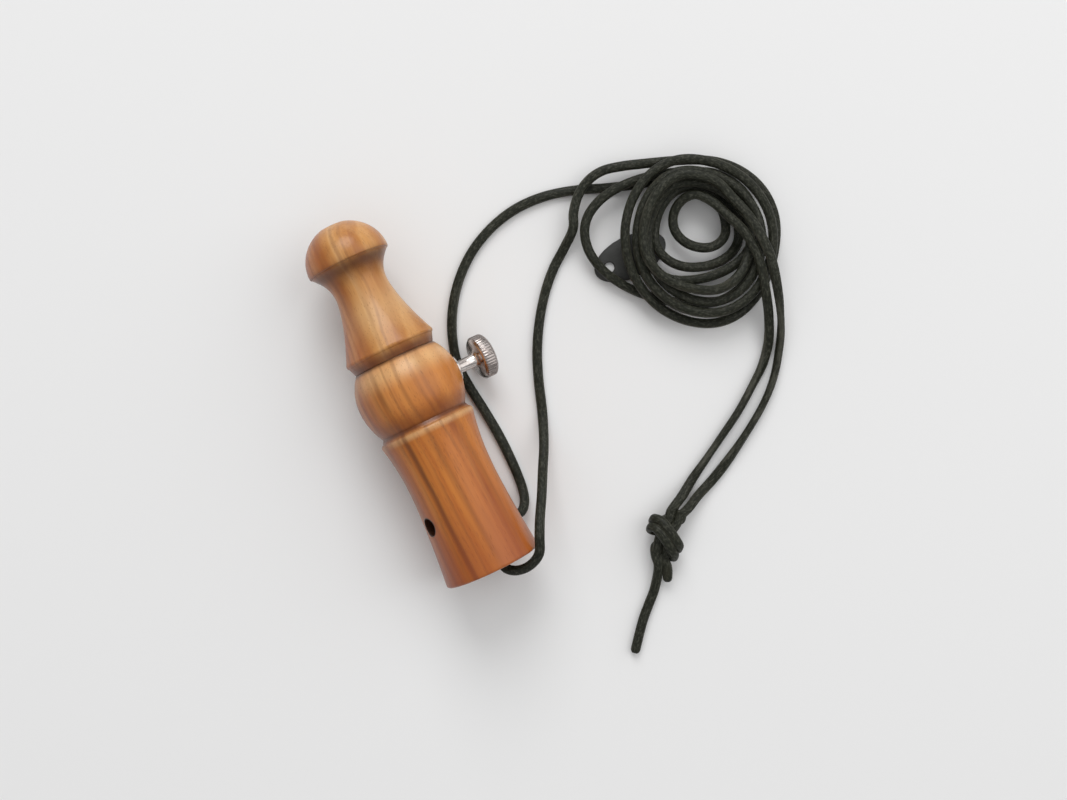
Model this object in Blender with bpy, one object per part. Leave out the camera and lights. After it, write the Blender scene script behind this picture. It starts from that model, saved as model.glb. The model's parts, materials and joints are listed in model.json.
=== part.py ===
# Roe deer call of turned wood with a tuning thumbscrew and a leather lanyard.
# Sizes are in millimetres and become metres in the meshes. +Z is up, +Y runs from the bell to the mouthpiece.
import math

import bmesh
import bpy
from mathutils import Matrix, Vector

MM = 0.001

# Places along the call's own axis, from the bell's end face
BELL_END = 0.0
WAIST_AT = 24.5
SHOULDER_AT = 40.5
BALL_FOOT_AT = 42.6
EQUATOR_AT = 51.8
BALL_TOP_AT = 60.6
COLLAR_AT = 64.0
NECK_AT = 81.2
MUSHROOM_AT = 89.5
CALL_LENGTH = 100.0

# Outer radii of the wood
RIM_R = 13.3
WAIST_R = 11.6
SHOULDER_R = 13.2
BALL_FOOT_R = 11.9
BALL_R = 14.4
BALL_TOP_R = 11.45
COLLAR_FOOT_R = 11.2
COLLAR_R = 12.45
NECK_R = 7.35
MUSHROOM_R = 11.3

# Edges and curves of the outer wood
RIM_EDGE = 0.7
SHOULDER_EDGE = 1.1
COLLAR_EDGE = 0.8
MUSHROOM_EDGE = 0.7
BELL_POWER = 1.5
SHOULDER_POWER = 2.35
COLLAR_POWER = 1.5
NECK_POWER = 2.2
MUSHROOM_LIP = 0.3
MUSHROOM_LIP_DROP = 0.1
SHOULDER_ROLL_END = math.radians(20.0)
COLLAR_ROLL_START = math.radians(150.0)
COLLAR_ROLL_END = math.radians(60.0)

# Hollow of the body
BELL_MOUTH_R = 9.8
BELL_THROAT_R = 6.0
BELL_DEPTH = 26.0
FLARE_POWER = 1.2
THROAT_R = 4.5
THROAT_LENGTH = 3.0
SIDE_HOLE_AT = 17.0
SIDE_HOLE_R = 2.4
SIDE_HOLE_RISE = math.radians(31.0)
CHAMBER_R = 6.5
SOCKET_R = 8.5
SOCKET_DEPTH = 5.2

# Mouthpiece hollow, tenon and cork ring
BLOW_R = 3.3
BLOW_EDGE = 0.6
TENON_BORE_R = 5.0
TENON_BORE_END = 7.5
BORE_TAPER = 5.0
TENON_PLAY = 0.5
GROOVE_DEPTH = 1.1
GROOVE_LAND = 0.9

# Reed unit, across the axis towards the screw (u) and along it
BLOCK_LENGTH = 9.5
SHALLOT_R = 2.3
SHALLOT_FLAT = 0.6
SHALLOT_CHANNEL_R = 1.4
SHALLOT_TOP_WALL = 0.9
SHALLOT_PROUD = 1.2
REED_WIDTH = 4.0
REED_THICKNESS = 0.25
REED_ROOT = 4.0
REED_TIP_BACK = 1.0
REED_PIVOT_ABOVE = 0.75
REED_PIVOT_PAST = 1.4
REED_LIFT = math.radians(3.5)
WEDGE_THICKNESS = 1.4
WEDGE_WIDTH = 3.6

# Tuning screw: distances from the call's axis along the screw
SCREW_R = 2.0
HEAD_INNER = 20.5
HEAD_THICKNESS = 4.0
HEAD_R = 5.95
HEAD_EDGE = 0.5
HEAD_FLUTES = 30
FLUTE_DEPTH = 0.22
INSERT_R = 2.95
INSERT_INNER = 7.2
FLANGE_R = 3.7
FLANGE_THICKNESS = 1.1
FLANGE_SINK = 1.0
TIP_R = 1.5
STEM_R = 0.7
STEM_LENGTH = 1.8
TIP_THICKNESS = 1.2

# Clearances
GAP = 0.3
FLOOR_GAP = 0.3
HOLE_PLAY = 0.8
DRILL_PAST = 2.0

# Lanyard
CORD_D = 2.4
CORD_HOLE_AT = 9.0
CORD_HOLE_DROP = math.radians(35.0)
CORD_BEND_R = 5.0
CORD_MOUTH_OFFSET = 3.0
CORD_MEET_AT = 1.0
CORD_JOIN_R = 11.2
CORD_PAST_RIM = 0.2
CORD_FLOOR = 1.25
LAYER = 2.9
TUBE_STEP = 6.5
TUBE_TURN = math.radians(20.0)
FINE_STEP = 0.5
DENSE_STEP = 0.25
LOOP_POINTS = 24

# Frame of the coil on the table: its middle and the direction of its own x axis
COIL_MIDDLE = (84.3, 4.8)
COIL_TURN = math.radians(-25.3)

# Knot: the middle of its entry face, its direction on the table and its size
KNOT_ENTRY = (44.4, -59.6)
KNOT_DIRECTION = Vector((-0.6, -0.8, 0.0))
KNOT_HEIGHT = 4.6
KNOT_LENGTH = 13.0
KNOT_R = 4.3
KNOT_END_R = 3.1
KNOT_LOBE = 0.13
KNOT_TWIST = math.radians(200.0)
KNOT_SWELL_POWER = 0.6
KNOT_LEAD = 1.2
STRAND_OFFSET = 1.6
TAIL_TOP = 3.6
TAIL_BEND_TOP = 3.0
TAIL_LEAD = 2.7

# Tag
TAG_LENGTH = 21.2
TAG_WIDTH = 11.4
TAG_THICKNESS = 0.8
TAG_HOLE_R = 1.4
TAG_MIDDLE = (64.0, 10.0)
TAG_TURN = math.radians(1.7)

# Segments round a turned piece and steps along its curves
SEGMENTS = 48
SMALL_SEGMENTS = 24
CURVE_STEPS = 6
EDGE_STEPS = 4
BEND_STEPS = 5
SHALLOT_STEPS = 16
KNOT_STEPS = 14
KNOT_SEGMENTS = 28
TAG_SEGMENTS = 40


def lerp(start, end, part):
    return start + (end - start) * part


def smooth(part):
    return part * part * (3.0 - 2.0 * part)


def power_curve(start, end, power, steps=CURVE_STEPS):
    """Points (a, r) from a low start, rising as a power of the way, end not included."""
    points = []
    for step in range(steps):
        part = step / steps
        points.append((lerp(start[0], end[0], part), lerp(start[1], end[1], part ** power)))
    return points


def crown_arc(crown, end, steps=CURVE_STEPS):
    """Points (a, r) of the circle that peaks at the crown and passes the end, both included."""
    reach = end[0] - crown[0]
    drop = crown[1] - end[1]
    radius = (reach * reach + drop * drop) / (2.0 * drop)
    points = []
    for step in range(steps + 1):
        along = reach * step / steps
        points.append((crown[0] + along, crown[1] - radius + math.sqrt(radius * radius - along * along)))
    return points


def quarter(centre, radius_a, radius_r, start, end, steps=EDGE_STEPS):
    """Points (a, r) of an elliptic arc between two angles, both included."""
    points = []
    for step in range(steps + 1):
        angle = lerp(start, end, step / steps)
        points.append((centre[0] + radius_a * math.cos(angle), centre[1] + radius_r * math.sin(angle)))
    return points


def outer_body():
    """Outline of the body's outer wood from the bell's end face to the top of the ball."""
    rim = quarter((BELL_END + RIM_EDGE, RIM_R - RIM_EDGE), RIM_EDGE, RIM_EDGE, math.pi, math.pi / 2)
    flare = power_curve((WAIST_AT, WAIST_R), (BELL_END + RIM_EDGE, RIM_R), BELL_POWER)[::-1]
    rise = power_curve((WAIST_AT, WAIST_R), (SHOULDER_AT, SHOULDER_R), SHOULDER_POWER)[1:]
    shoulder = quarter((SHOULDER_AT, SHOULDER_R - SHOULDER_EDGE), SHOULDER_EDGE, SHOULDER_EDGE,
                       math.pi / 2, SHOULDER_ROLL_END)
    low_ball = crown_arc((EQUATOR_AT, BALL_R), (BALL_FOOT_AT, BALL_FOOT_R))[::-1]
    high_ball = crown_arc((EQUATOR_AT, BALL_R), (BALL_TOP_AT, BALL_TOP_R))[1:]
    return rim + flare + rise + shoulder + low_ball + high_ball


def outer_mouthpiece():
    """Outline of the mouthpiece's outer wood from the foot of the collar to the edge of the blow hole."""
    foot_at = BALL_TOP_AT + GAP
    collar = quarter((COLLAR_AT, COLLAR_R - COLLAR_EDGE), COLLAR_EDGE, COLLAR_EDGE,
                     COLLAR_ROLL_START, COLLAR_ROLL_END)
    neck_top = (collar[-1][0], collar[-1][1])
    neck = power_curve((NECK_AT, NECK_R), neck_top, COLLAR_POWER)[::-1]
    under = power_curve((NECK_AT, NECK_R), (MUSHROOM_AT - MUSHROOM_EDGE, MUSHROOM_R), NECK_POWER)[1:]
    edge = [(MUSHROOM_AT - MUSHROOM_EDGE, MUSHROOM_R - MUSHROOM_LIP_DROP),
            (MUSHROOM_AT - MUSHROOM_LIP, MUSHROOM_R)]
    dome_height = CALL_LENGTH - MUSHROOM_AT
    top = math.asin(1.0) - math.asin((BLOW_R + BLOW_EDGE) / MUSHROOM_R)
    dome = []
    for step in range(CURVE_STEPS + 1):
        angle = top * step / CURVE_STEPS
        dome.append((MUSHROOM_AT + dome_height * math.sin(angle), MUSHROOM_R * math.cos(angle)))
    return [(foot_at, COLLAR_FOOT_R)] + collar + neck[1:] + under + edge + dome


def material(name, colour, roughness, metallic=0.0):
    made = bpy.data.materials.new(name)
    made.use_nodes = True
    shader = made.node_tree.nodes["Principled BSDF"]
    shader.inputs["Base Color"].default_value = (*colour, 1.0)
    shader.inputs["Roughness"].default_value = roughness
    shader.inputs["Metallic"].default_value = metallic
    return made


def add_object(name, data, skin, parent, hidden=False):
    made = bpy.data.objects.new(name, data)
    bpy.context.scene.collection.objects.link(made)
    made.parent = parent
    if skin:
        data.materials.append(skin)
    if hidden:
        made.hide_render = True
        made.display_type = "WIRE"
    return made


def empty(name, parent, location, rotation):
    made = bpy.data.objects.new(name, None)
    bpy.context.scene.collection.objects.link(made)
    made.parent = parent
    made.location = Vector(location) * MM
    made.rotation_euler = rotation.to_euler()
    return made


def mesh_from(name, points, faces):
    """A closed mesh in metres from points in millimetres, with its faces turned outwards."""
    shape = bmesh.new()
    corners = [shape.verts.new(Vector(point) * MM) for point in points]
    for face in faces:
        shape.faces.new([corners[index] for index in face])
    bmesh.ops.recalc_face_normals(shape, faces=shape.faces)
    mesh = bpy.data.meshes.new(name)
    shape.to_mesh(mesh)
    shape.free()
    return mesh


def turned(name, outline, segments, flute_rings=(), flutes=0):
    """Revolve a closed outline of (a, r) about Y. A point with r of 0 closes the piece on the axis."""
    points = []
    rings = []
    for number, (along, radius) in enumerate(outline):
        if radius < 1e-6:
            points.append((0.0, along, 0.0))
            rings.append([len(points) - 1] * segments)
            continue
        ring = []
        for segment in range(segments):
            angle = math.tau * segment / segments
            depth = FLUTE_DEPTH * (0.5 - 0.5 * math.cos(flutes * angle)) if number in flute_rings else 0.0
            points.append(((radius - depth) * math.cos(angle), along, (radius - depth) * math.sin(angle)))
            ring.append(len(points) - 1)
        rings.append(ring)
    faces = []
    solid = outline[0][1] < 1e-6
    pairs = len(rings) - 1 if solid else len(rings)
    for number in range(pairs):
        low = rings[number]
        high = rings[(number + 1) % len(rings)]
        for segment in range(segments):
            after = (segment + 1) % segments
            corners = [low[segment], low[after], high[after], high[segment]]
            faces.append(list(dict.fromkeys(corners)))
    return mesh_from(name, points, faces)


def prism(name, outline, start, end):
    """Extrude a closed outline of (u, w) along Y."""
    count = len(outline)
    points = [(u, start, w) for u, w in outline] + [(u, end, w) for u, w in outline]
    faces = [list(range(count)), list(range(count, 2 * count))]
    for number in range(count):
        after = (number + 1) % count
        faces.append([number, after, count + after, count + number])
    return mesh_from(name, points, faces)


def box(name, low, high):
    outline = [(low[0], low[2]), (high[0], low[2]), (high[0], high[2]), (low[0], high[2])]
    return prism(name, outline, low[1], high[1])


def rod(name, radius, start, end, segments=SMALL_SEGMENTS):
    return turned(name, [(start, 0.0), (start, radius), (end, radius), (end, 0.0)], segments)


def cut(piece, cutter):
    modifier = piece.modifiers.new(cutter.name, "BOOLEAN")
    modifier.operation = "DIFFERENCE"
    modifier.solver = "EXACT"
    modifier.object = cutter


def rest_tilt():
    """Slope of the axis when the rim and the ball both touch the table."""
    rim_at = BELL_END + RIM_EDGE
    slopes = []
    for along, radius in outer_body():
        if along > WAIST_AT:
            slopes.append(math.atan2(radius - RIM_R, along - rim_at))
    return max(slopes)


TILT = rest_tilt()
AXIS_AT_END = max(r * math.cos(TILT) - a * math.sin(TILT) for a, r in outer_body())
SCREW_AT = EQUATOR_AT
SCREW_HEIGHT = AXIS_AT_END + SCREW_AT * math.sin(TILT)
HEAD_OUTER = HEAD_INNER + HEAD_THICKNESS
HEAD_ANGLE = math.atan2(HEAD_R, HEAD_OUTER)
SCREW_DROP = math.asin((SCREW_HEIGHT - FLOOR_GAP) / math.hypot(HEAD_OUTER, HEAD_R)) - HEAD_ANGLE
HEAD_REACH = HEAD_OUTER * math.cos(SCREW_DROP) + HEAD_R * math.sin(SCREW_DROP)
TIP_SHARE = math.sqrt(1.0 - ((BLOW_R + BLOW_EDGE) / MUSHROOM_R) ** 2)
MOUTH_TIP_AT = MUSHROOM_AT + (CALL_LENGTH - MUSHROOM_AT) * TIP_SHARE
AXIS_X = (BALL_R - HEAD_REACH) / 2.0
END_LOW_Y = -(RIM_R - RIM_EDGE) * math.sin(TILT)
TIP_HIGH_Y = MOUTH_TIP_AT * math.cos(TILT) + (BLOW_R + BLOW_EDGE) * math.sin(TILT)
AXIS_Y = -(END_LOW_Y + TIP_HIGH_Y) / 2.0


def call_point(across, along, up):
    """A point of the call's own frame in the part's frame, all in millimetres."""
    turned_y = along * math.cos(TILT) - up * math.sin(TILT)
    turned_z = along * math.sin(TILT) + up * math.cos(TILT)
    return Vector((AXIS_X + across, AXIS_Y + turned_y, AXIS_AT_END + turned_z))


def make_body(call, skin):
    chamber_end = BALL_TOP_AT - SOCKET_DEPTH
    throat_at = BELL_DEPTH + THROAT_LENGTH
    flare = power_curve((BELL_DEPTH, BELL_THROAT_R), (BELL_END, BELL_MOUTH_R), FLARE_POWER)
    inner = [(BALL_TOP_AT, SOCKET_R), (chamber_end, SOCKET_R), (chamber_end, CHAMBER_R),
             (throat_at, CHAMBER_R), (throat_at, THROAT_R), (BELL_DEPTH, THROAT_R)]
    outline = outer_body() + inner + flare + [(BELL_END, BELL_MOUTH_R)]
    body = add_object("body", turned("body", outline, SEGMENTS), skin, call)
    return body


def drill_body(body, call, screw):
    flange_in = BALL_R - FLANGE_SINK - GAP
    drill_in = INSERT_INNER - DRILL_PAST
    outline = [(drill_in, 0.0), (drill_in, INSERT_R + GAP), (flange_in, INSERT_R + GAP),
               (flange_in, FLANGE_R + GAP), (HEAD_INNER, FLANGE_R + GAP), (HEAD_INNER, 0.0)]
    insert_hole = add_object("insert_hole", turned("insert_hole", outline, SMALL_SEGMENTS), None, screw, True)
    cut(body, insert_hole)
    holes = [("cord_hole", CORD_D / 2.0 + HOLE_PLAY, BELL_THROAT_R, CORD_HOLE_AT, CORD_HOLE_DROP),
             ("side_hole", SIDE_HOLE_R, THROAT_R, SIDE_HOLE_AT, math.pi + SIDE_HOLE_RISE)]
    for name, radius, inner, along, drop in holes:
        hole = add_object(name, rod(name, radius, inner, RIM_R + DRILL_PAST), None, call, True)
        hole.location = Vector((0.0, along, 0.0)) * MM
        turn = Matrix.Rotation(drop, 3, "Y") @ Matrix.Rotation(-math.pi / 2, 3, "Z")
        hole.rotation_euler = turn.to_euler()
        cut(body, hole)


def make_mouthpiece(call, wood, cork):
    tenon_end = BALL_TOP_AT - SOCKET_DEPTH + GAP
    tenon_r = SOCKET_R - TENON_PLAY
    groove = (tenon_end + GROOVE_LAND, BALL_TOP_AT - GROOVE_LAND)
    bore_end = tenon_end + TENON_BORE_END
    lip = quarter((MOUTH_TIP_AT - BLOW_EDGE, BLOW_R + BLOW_EDGE), BLOW_EDGE, -BLOW_EDGE, 0.0, math.pi / 2)[1:]
    foot_at = BALL_TOP_AT + GAP
    outline = outer_mouthpiece() + lip
    outline += [(bore_end + BORE_TAPER, BLOW_R), (bore_end, TENON_BORE_R), (tenon_end, TENON_BORE_R)]
    outline += [(tenon_end, tenon_r), (groove[0], tenon_r), (groove[0], tenon_r - GROOVE_DEPTH),
                (groove[1], tenon_r - GROOVE_DEPTH), (groove[1], tenon_r), (foot_at, tenon_r)]
    add_object("mouthpiece", turned("mouthpiece", outline, SEGMENTS), wood, call)
    inside = tenon_r - GROOVE_DEPTH + GAP
    outside = SOCKET_R - GAP
    ring = [(groove[0] + GAP, inside), (groove[0] + GAP, outside), (groove[1] - GAP, outside),
            (groove[1] - GAP, inside)]
    add_object("tenon_cork", turned("tenon_cork", ring, SEGMENTS), cork, call)


def make_reed_unit(reed_frame, block_skin, brass, reed_skin, wedge_skin):
    seat = BELL_DEPTH + THROAT_LENGTH + GAP
    block_top = seat + BLOCK_LENGTH
    plug = rod("reed_block", CHAMBER_R - GAP, seat, block_top, SEGMENTS)
    block = add_object("reed_block", plug, block_skin, reed_frame)
    reed_low = SHALLOT_FLAT + REED_PIVOT_ABOVE
    wedge_low = reed_low + REED_THICKNESS / 2.0 + GAP
    wedge_high = wedge_low + WEDGE_THICKNESS
    low, high = seat - DRILL_PAST, block_top + DRILL_PAST
    hole = add_object("shallot_hole", rod("shallot_hole", SHALLOT_R + GAP, low, high), None, reed_frame, True)
    cut(block, hole)
    slot_half = REED_WIDTH / 2.0 + GAP
    slot = box("reed_slot", (0.0, low, -slot_half), (wedge_high + GAP, high, slot_half))
    cut(block, add_object("reed_slot", slot, None, reed_frame, True))

    shallot_low = seat - SHALLOT_PROUD
    shallot_high = BALL_TOP_AT
    half_flat = math.acos(SHALLOT_FLAT / SHALLOT_R)
    section = []
    for step in range(SHALLOT_STEPS + 1):
        angle = lerp(half_flat, math.tau - half_flat, step / SHALLOT_STEPS)
        section.append((SHALLOT_R * math.cos(angle), SHALLOT_R * math.sin(angle)))
    shallot = add_object("shallot", prism("shallot", section, shallot_low, shallot_high), brass, reed_frame)
    channel = []
    channel_steps = SHALLOT_STEPS // 2
    for step in range(channel_steps + 1):
        angle = lerp(math.pi / 2, math.pi * 1.5, step / channel_steps)
        channel.append((SHALLOT_CHANNEL_R * math.cos(angle), SHALLOT_CHANNEL_R * math.sin(angle)))
    channel += [(SHALLOT_R, -SHALLOT_CHANNEL_R), (SHALLOT_R, SHALLOT_CHANNEL_R)]
    channel_cut = prism("shallot_channel", channel, shallot_low - DRILL_PAST, shallot_high - SHALLOT_TOP_WALL)
    cut(shallot, add_object("shallot_channel", channel_cut, None, reed_frame, True))

    pivot_at = block_top + REED_PIVOT_PAST
    half = REED_THICKNESS / 2.0
    tip_at = shallot_high - REED_TIP_BACK - pivot_at
    strip = box("reed", (-half, -REED_ROOT, -REED_WIDTH / 2.0), (half, tip_at, REED_WIDTH / 2.0))
    reed = add_object("reed", strip, reed_skin, reed_frame)
    reed.location = Vector((reed_low, pivot_at, 0.0)) * MM
    reed.rotation_euler = (0.0, 0.0, -REED_LIFT)
    wedge_half = WEDGE_WIDTH / 2.0
    wedge_root = pivot_at - REED_ROOT
    wedge = box("reed_wedge", (wedge_low, wedge_root, -wedge_half), (wedge_high, block_top, wedge_half))
    add_object("reed_wedge", wedge, wedge_skin, reed_frame)
    reed_rise = (SCREW_AT - pivot_at) * math.tan(REED_LIFT) + half / math.cos(REED_LIFT)
    print("reed pivot at", pivot_at, "u", reed_low, "arm to the screw", SCREW_AT - pivot_at)
    return reed_low + reed_rise


def make_screw(screw, reed_top, steel, brass, nylon):
    tip_inner = reed_top + GAP + TIP_R * math.tan(REED_LIFT)
    tip_outer = tip_inner + TIP_THICKNESS
    screw_inner = tip_outer + GAP
    stem_end = tip_outer + STEM_LENGTH
    hole_r = STEM_R + GAP
    hole_end = stem_end + GAP
    tip = [(tip_inner, 0.0), (tip_inner, TIP_R), (tip_outer, TIP_R), (tip_outer, STEM_R), (stem_end, STEM_R),
           (stem_end, 0.0)]
    add_object("screw_tip", turned("screw_tip", tip, SMALL_SEGMENTS), nylon, screw)
    head = [(hole_end, 0.0), (hole_end, hole_r), (screw_inner, hole_r), (screw_inner, SCREW_R),
            (HEAD_INNER, SCREW_R), (HEAD_INNER, HEAD_R - HEAD_EDGE), (HEAD_INNER + HEAD_EDGE, HEAD_R),
            (HEAD_OUTER - HEAD_EDGE, HEAD_R), (HEAD_OUTER, HEAD_R - HEAD_EDGE), (HEAD_OUTER, 0.0)]
    rings = (6, 7)
    shape = turned("thumbscrew", head, HEAD_FLUTES * 2, rings, HEAD_FLUTES)
    add_object("thumbscrew", shape, steel, screw)
    bore = SCREW_R + GAP
    flange_in = BALL_R - FLANGE_SINK
    flange_out = flange_in + FLANGE_THICKNESS
    insert = [(INSERT_INNER, bore), (INSERT_INNER, INSERT_R), (flange_in, INSERT_R), (flange_in, FLANGE_R),
              (flange_out, FLANGE_R), (flange_out, bore)]
    add_object("screw_insert", turned("screw_insert", insert, SMALL_SEGMENTS), brass, screw)


def layer_height(layer):
    return CORD_FLOOR + LAYER * layer


def coil_point(across, up, height):
    """A point of the coil's own frame on the table in the part's frame."""
    x = COIL_MIDDLE[0] + across * math.cos(COIL_TURN) - up * math.sin(COIL_TURN)
    y = COIL_MIDDLE[1] + across * math.sin(COIL_TURN) + up * math.cos(COIL_TURN)
    return Vector((x, y, height))


def coil_turns(marks, upright):
    """Quarter ellipses through the coil's extremes. Upright says whether the first one is a left or right."""
    points = []
    per_quarter = LOOP_POINTS // 4
    for number in range(len(marks) - 1):
        here, there = marks[number], marks[number + 1]
        for step in range(per_quarter):
            part = step / per_quarter
            angle = part * math.pi / 2
            if upright:
                across = lerp(there[0], here[0], math.cos(angle))
                up = lerp(here[1], there[1], math.sin(angle))
            else:
                across = lerp(here[0], there[0], math.sin(angle))
                up = lerp(there[1], here[1], math.cos(angle))
            points.append(coil_point(across, up, layer_height(lerp(here[2], there[2], smooth(part)))))
        upright = not upright
    points.append(coil_point(marks[-1][0], marks[-1][1], layer_height(marks[-1][2])))
    return points


def bell_stretch():
    """From the bell's mouth round the bend and out through the hole in the bell's side."""
    outward = Vector((math.cos(CORD_HOLE_DROP), 0.0, -math.sin(CORD_HOLE_DROP)))
    points = []
    bend_end = CORD_HOLE_AT - CORD_BEND_R
    for along in (CORD_MEET_AT, lerp(CORD_MEET_AT, bend_end, 0.5)):
        points.append((CORD_MOUTH_OFFSET, along))
    for step in range(BEND_STEPS + 1):
        angle = math.pi / 2 * step / BEND_STEPS
        points.append((CORD_MOUTH_OFFSET + CORD_BEND_R * (1.0 - math.cos(angle)),
                       bend_end + CORD_BEND_R * math.sin(angle)))
    for out in (CORD_JOIN_R, RIM_R + CORD_PAST_RIM):
        points.append((out, CORD_HOLE_AT))
    return [call_point(outward.x * out, along, outward.z * out) for out, along in points]


# Route of the lace: places in the part's frame, and in the coil lists places in the coil's frame and layers
FLOOR = CORD_FLOOR
LEG_KNOB = [(7.7, -40.0, 4.2), (9.3, -38.0, 2.8), (10.2, -34.6, 1.75), (10.6, -30.0, 1.35),
            (10.7, -24.5, FLOOR), (10.5, -18.0, FLOOR), (9.8, -10.5, FLOOR), (8.9, -3.0, FLOOR),
            (8.7, 3.5, FLOOR), (10.2, 10.0, FLOOR), (13.4, 17.0, FLOOR), (18.4, 23.8, FLOOR),
            (25.2, 29.6, FLOOR), (33.0, 33.4, FLOOR), (41.0, 35.2, FLOOR), (49.5, 35.0, FLOOR),
            (57.9, 33.0, FLOOR), (66.0, 29.9, FLOOR), (74.0, 27.2, FLOOR)]
COIL_A = [(-1.0, 19.3, 0), (15.0, 0.5, 0), (-1.0, -16.9, 0), (-33.2, 2.6, 1),
          (-5.0, 18.7, 1), (12.5, 2.0, 1), (-7.0, -10.8, 1), (-17.4, 0.0, 0.42),
          (-3.0, 15.6, 0), (9.2, 2.0, 0), (-4.0, -7.2, 1), (-14.2, 1.4, 1.12),
          (-4.5, 14.6, 1.08), (5.2, 3.0, 1), (-0.5, -1.9, 1), (-9.2, 5.5, 1),
          (-3.0, 12.3, 1.8)]
COIL_A_EXIT = [(1.0, 10.2, 2.25), (5.3, 6.0, 2.75), (9.5, 1.6, 3.05), (12.4, -3.4, 3.15),
               (14.2, -9.0, 3.15), (15.3, -14.5, 2.75)]
RUN_A = [(90.8, -20.5, 5.2), (88.0, -27.4, 2.3), (84.4, -32.0, FLOOR), (79.2, -36.2, FLOOR),
         (72.8, -40.9, FLOOR), (66.0, -45.0, FLOOR), (59.5, -48.8, FLOOR), (53.6, -52.2, 1.7),
         (48.6, -55.2, 3.2)]
LEG_RIM = [(-2.6, -51.4, 11.9), (-0.8, -52.9, 13.2), (2.0, -53.4, 15.2), (5.1, -52.7, 17.4),
           (7.6, -50.9, 19.1), (9.4, -47.2, 19.5), (11.4, -43.2, 17.9), (14.4, -38.0, 14.0),
           (17.6, -32.0, 8.8), (20.8, -26.0, 4.2), (23.9, -18.5, 1.7), (26.8, -10.0, FLOOR),
           (29.9, -2.5, FLOOR), (34.0, 4.7, FLOOR), (39.0, 11.4, FLOOR), (43.8, 16.2, FLOOR),
           (48.6, 19.8, 2.2)]
COIL_B_ENTRY = [(-36.3, 3.4, 1), (-36.2, 7.6, 1), (-34.8, 12.6, 1), (-32.0, 16.6, 1),
                (-28.4, 19.0, 1), (-23.6, 20.2, 1), (-17.0, 21.0, 1), (-10.0, 21.7, 1)]
COIL_B = [(-2.0, 22.0, 1), (19.4, 3.5, 0), (0.5, -22.4, 0.6), (-22.4, 1.0, 2),
          (-5.5, 21.8, 2), (17.6, 0.5, 2), (0.5, -19.8, 2), (-19.2, 0.0, 2),
          (-5.5, 18.7, 2), (14.5, 0.0, 2), (0.5, -16.8, 2), (-16.2, -0.5, 2),
          (-5.5, 15.6, 2), (11.4, 0.0, 2), (0.0, -13.9, 3), (-17.7, -0.5, 3),
          (-5.5, 17.2, 3)]
COIL_B_EXIT = [(1.6, 15.4, 3), (6.2, 10.8, 3.1), (10.6, 5.6, 3.35), (14.0, -0.2, 3.6),
               (16.4, -5.8, 3.55), (17.9, -11.5, 3.1)]
RUN_B = [(94.1, -20.2, 6.7), (92.2, -26.0, 3.5), (88.8, -32.2, 1.5), (84.2, -38.0, FLOOR),
         (79.0, -42.6, FLOOR), (72.4, -47.1, FLOOR), (65.0, -51.5, FLOOR), (58.1, -55.0, FLOOR),
         (52.4, -57.2, 2.4), (49.0, -58.8, 3.4)]
TAIL_LONG = [(31.0, -75.2, 1.6), (28.2, -78.0, FLOOR), (25.1, -81.0, FLOOR), (22.0, -84.6, FLOOR),
             (18.7, -88.7, FLOOR)]
TAIL_SHORT = [(35.2, -74.6, 2.2)]


def knot_side():
    return Vector((-KNOT_DIRECTION.y, KNOT_DIRECTION.x, 0.0))


def knot_point(along, offset, height=KNOT_HEIGHT):
    place = Vector((KNOT_ENTRY[0], KNOT_ENTRY[1], height))
    return place + KNOT_DIRECTION * along + knot_side() * offset


def smooth_curve(route):
    """Points of a smooth curve through the route, about DENSE_STEP apart."""
    points = [route[0] * 2.0 - route[1]] + list(route) + [route[-1] * 2.0 - route[-2]]
    dense = []
    for number in range(1, len(points) - 2):
        before, start, end, after = points[number - 1:number + 3]
        knots = [0.0]
        for one, two in ((before, start), (start, end), (end, after)):
            knots.append(knots[-1] + math.sqrt((two - one).length))
        slope_start = ((start - before) / knots[1] - (end - before) / knots[2]
                       + (end - start) / (knots[2] - knots[1])) * (knots[2] - knots[1])
        slope_end = ((end - start) / (knots[2] - knots[1]) - (after - start) / (knots[3] - knots[1])
                     + (after - end) / (knots[3] - knots[2])) * (knots[2] - knots[1])
        steps = max(2, round((end - start).length / DENSE_STEP))
        for step in range(steps):
            t = step / steps
            dense.append(start * (2 * t ** 3 - 3 * t ** 2 + 1) + slope_start * (t ** 3 - 2 * t ** 2 + t)
                         + end * (3 * t ** 2 - 2 * t ** 3) + slope_end * (t ** 3 - t ** 2))
    dense.append(route[-1])
    return dense


def lengths_along(dense):
    lengths = [0.0]
    for number in range(1, len(dense)):
        lengths.append(lengths[-1] + (dense[number] - dense[number - 1]).length)
    return lengths


def nearest_length(dense, lengths, point):
    return min(zip(dense, lengths), key=lambda pair: (pair[0] - point).length)[1]


def stretch(dense, lengths, start, end, step):
    """Evenly spaced points of the curve between two lengths along it."""
    count = max(2, round((end - start) / step))
    points = []
    number = 0
    for index in range(count + 1):
        wanted = lerp(start, end, index / count)
        while number < len(dense) - 2 and lengths[number + 1] < wanted:
            number += 1
        part = (wanted - lengths[number]) / (lengths[number + 1] - lengths[number])
        points.append(dense[number].lerp(dense[number + 1], part))
    return points


def sparse(points):
    """The points that a tube needs: one near each end, one every TUBE_STEP, and more where the curve turns."""
    lead = round(CORD_D / 2.0 / FINE_STEP)
    kept = [points[0], points[lead]]
    heading = points[lead + 1] - points[lead]
    travelled = 0.0
    for number in range(lead + 1, len(points) - lead - 1):
        travelled += (points[number] - points[number - 1]).length
        turn = heading.angle(points[number + 1] - points[number])
        if travelled >= TUBE_STEP or turn >= TUBE_TURN:
            kept.append(points[number])
            heading = points[number + 1] - points[number]
            travelled = 0.0
    if travelled < CORD_D and len(kept) > 2:
        kept.pop()
    return kept + [points[-lead - 1], points[-1]]


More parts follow.
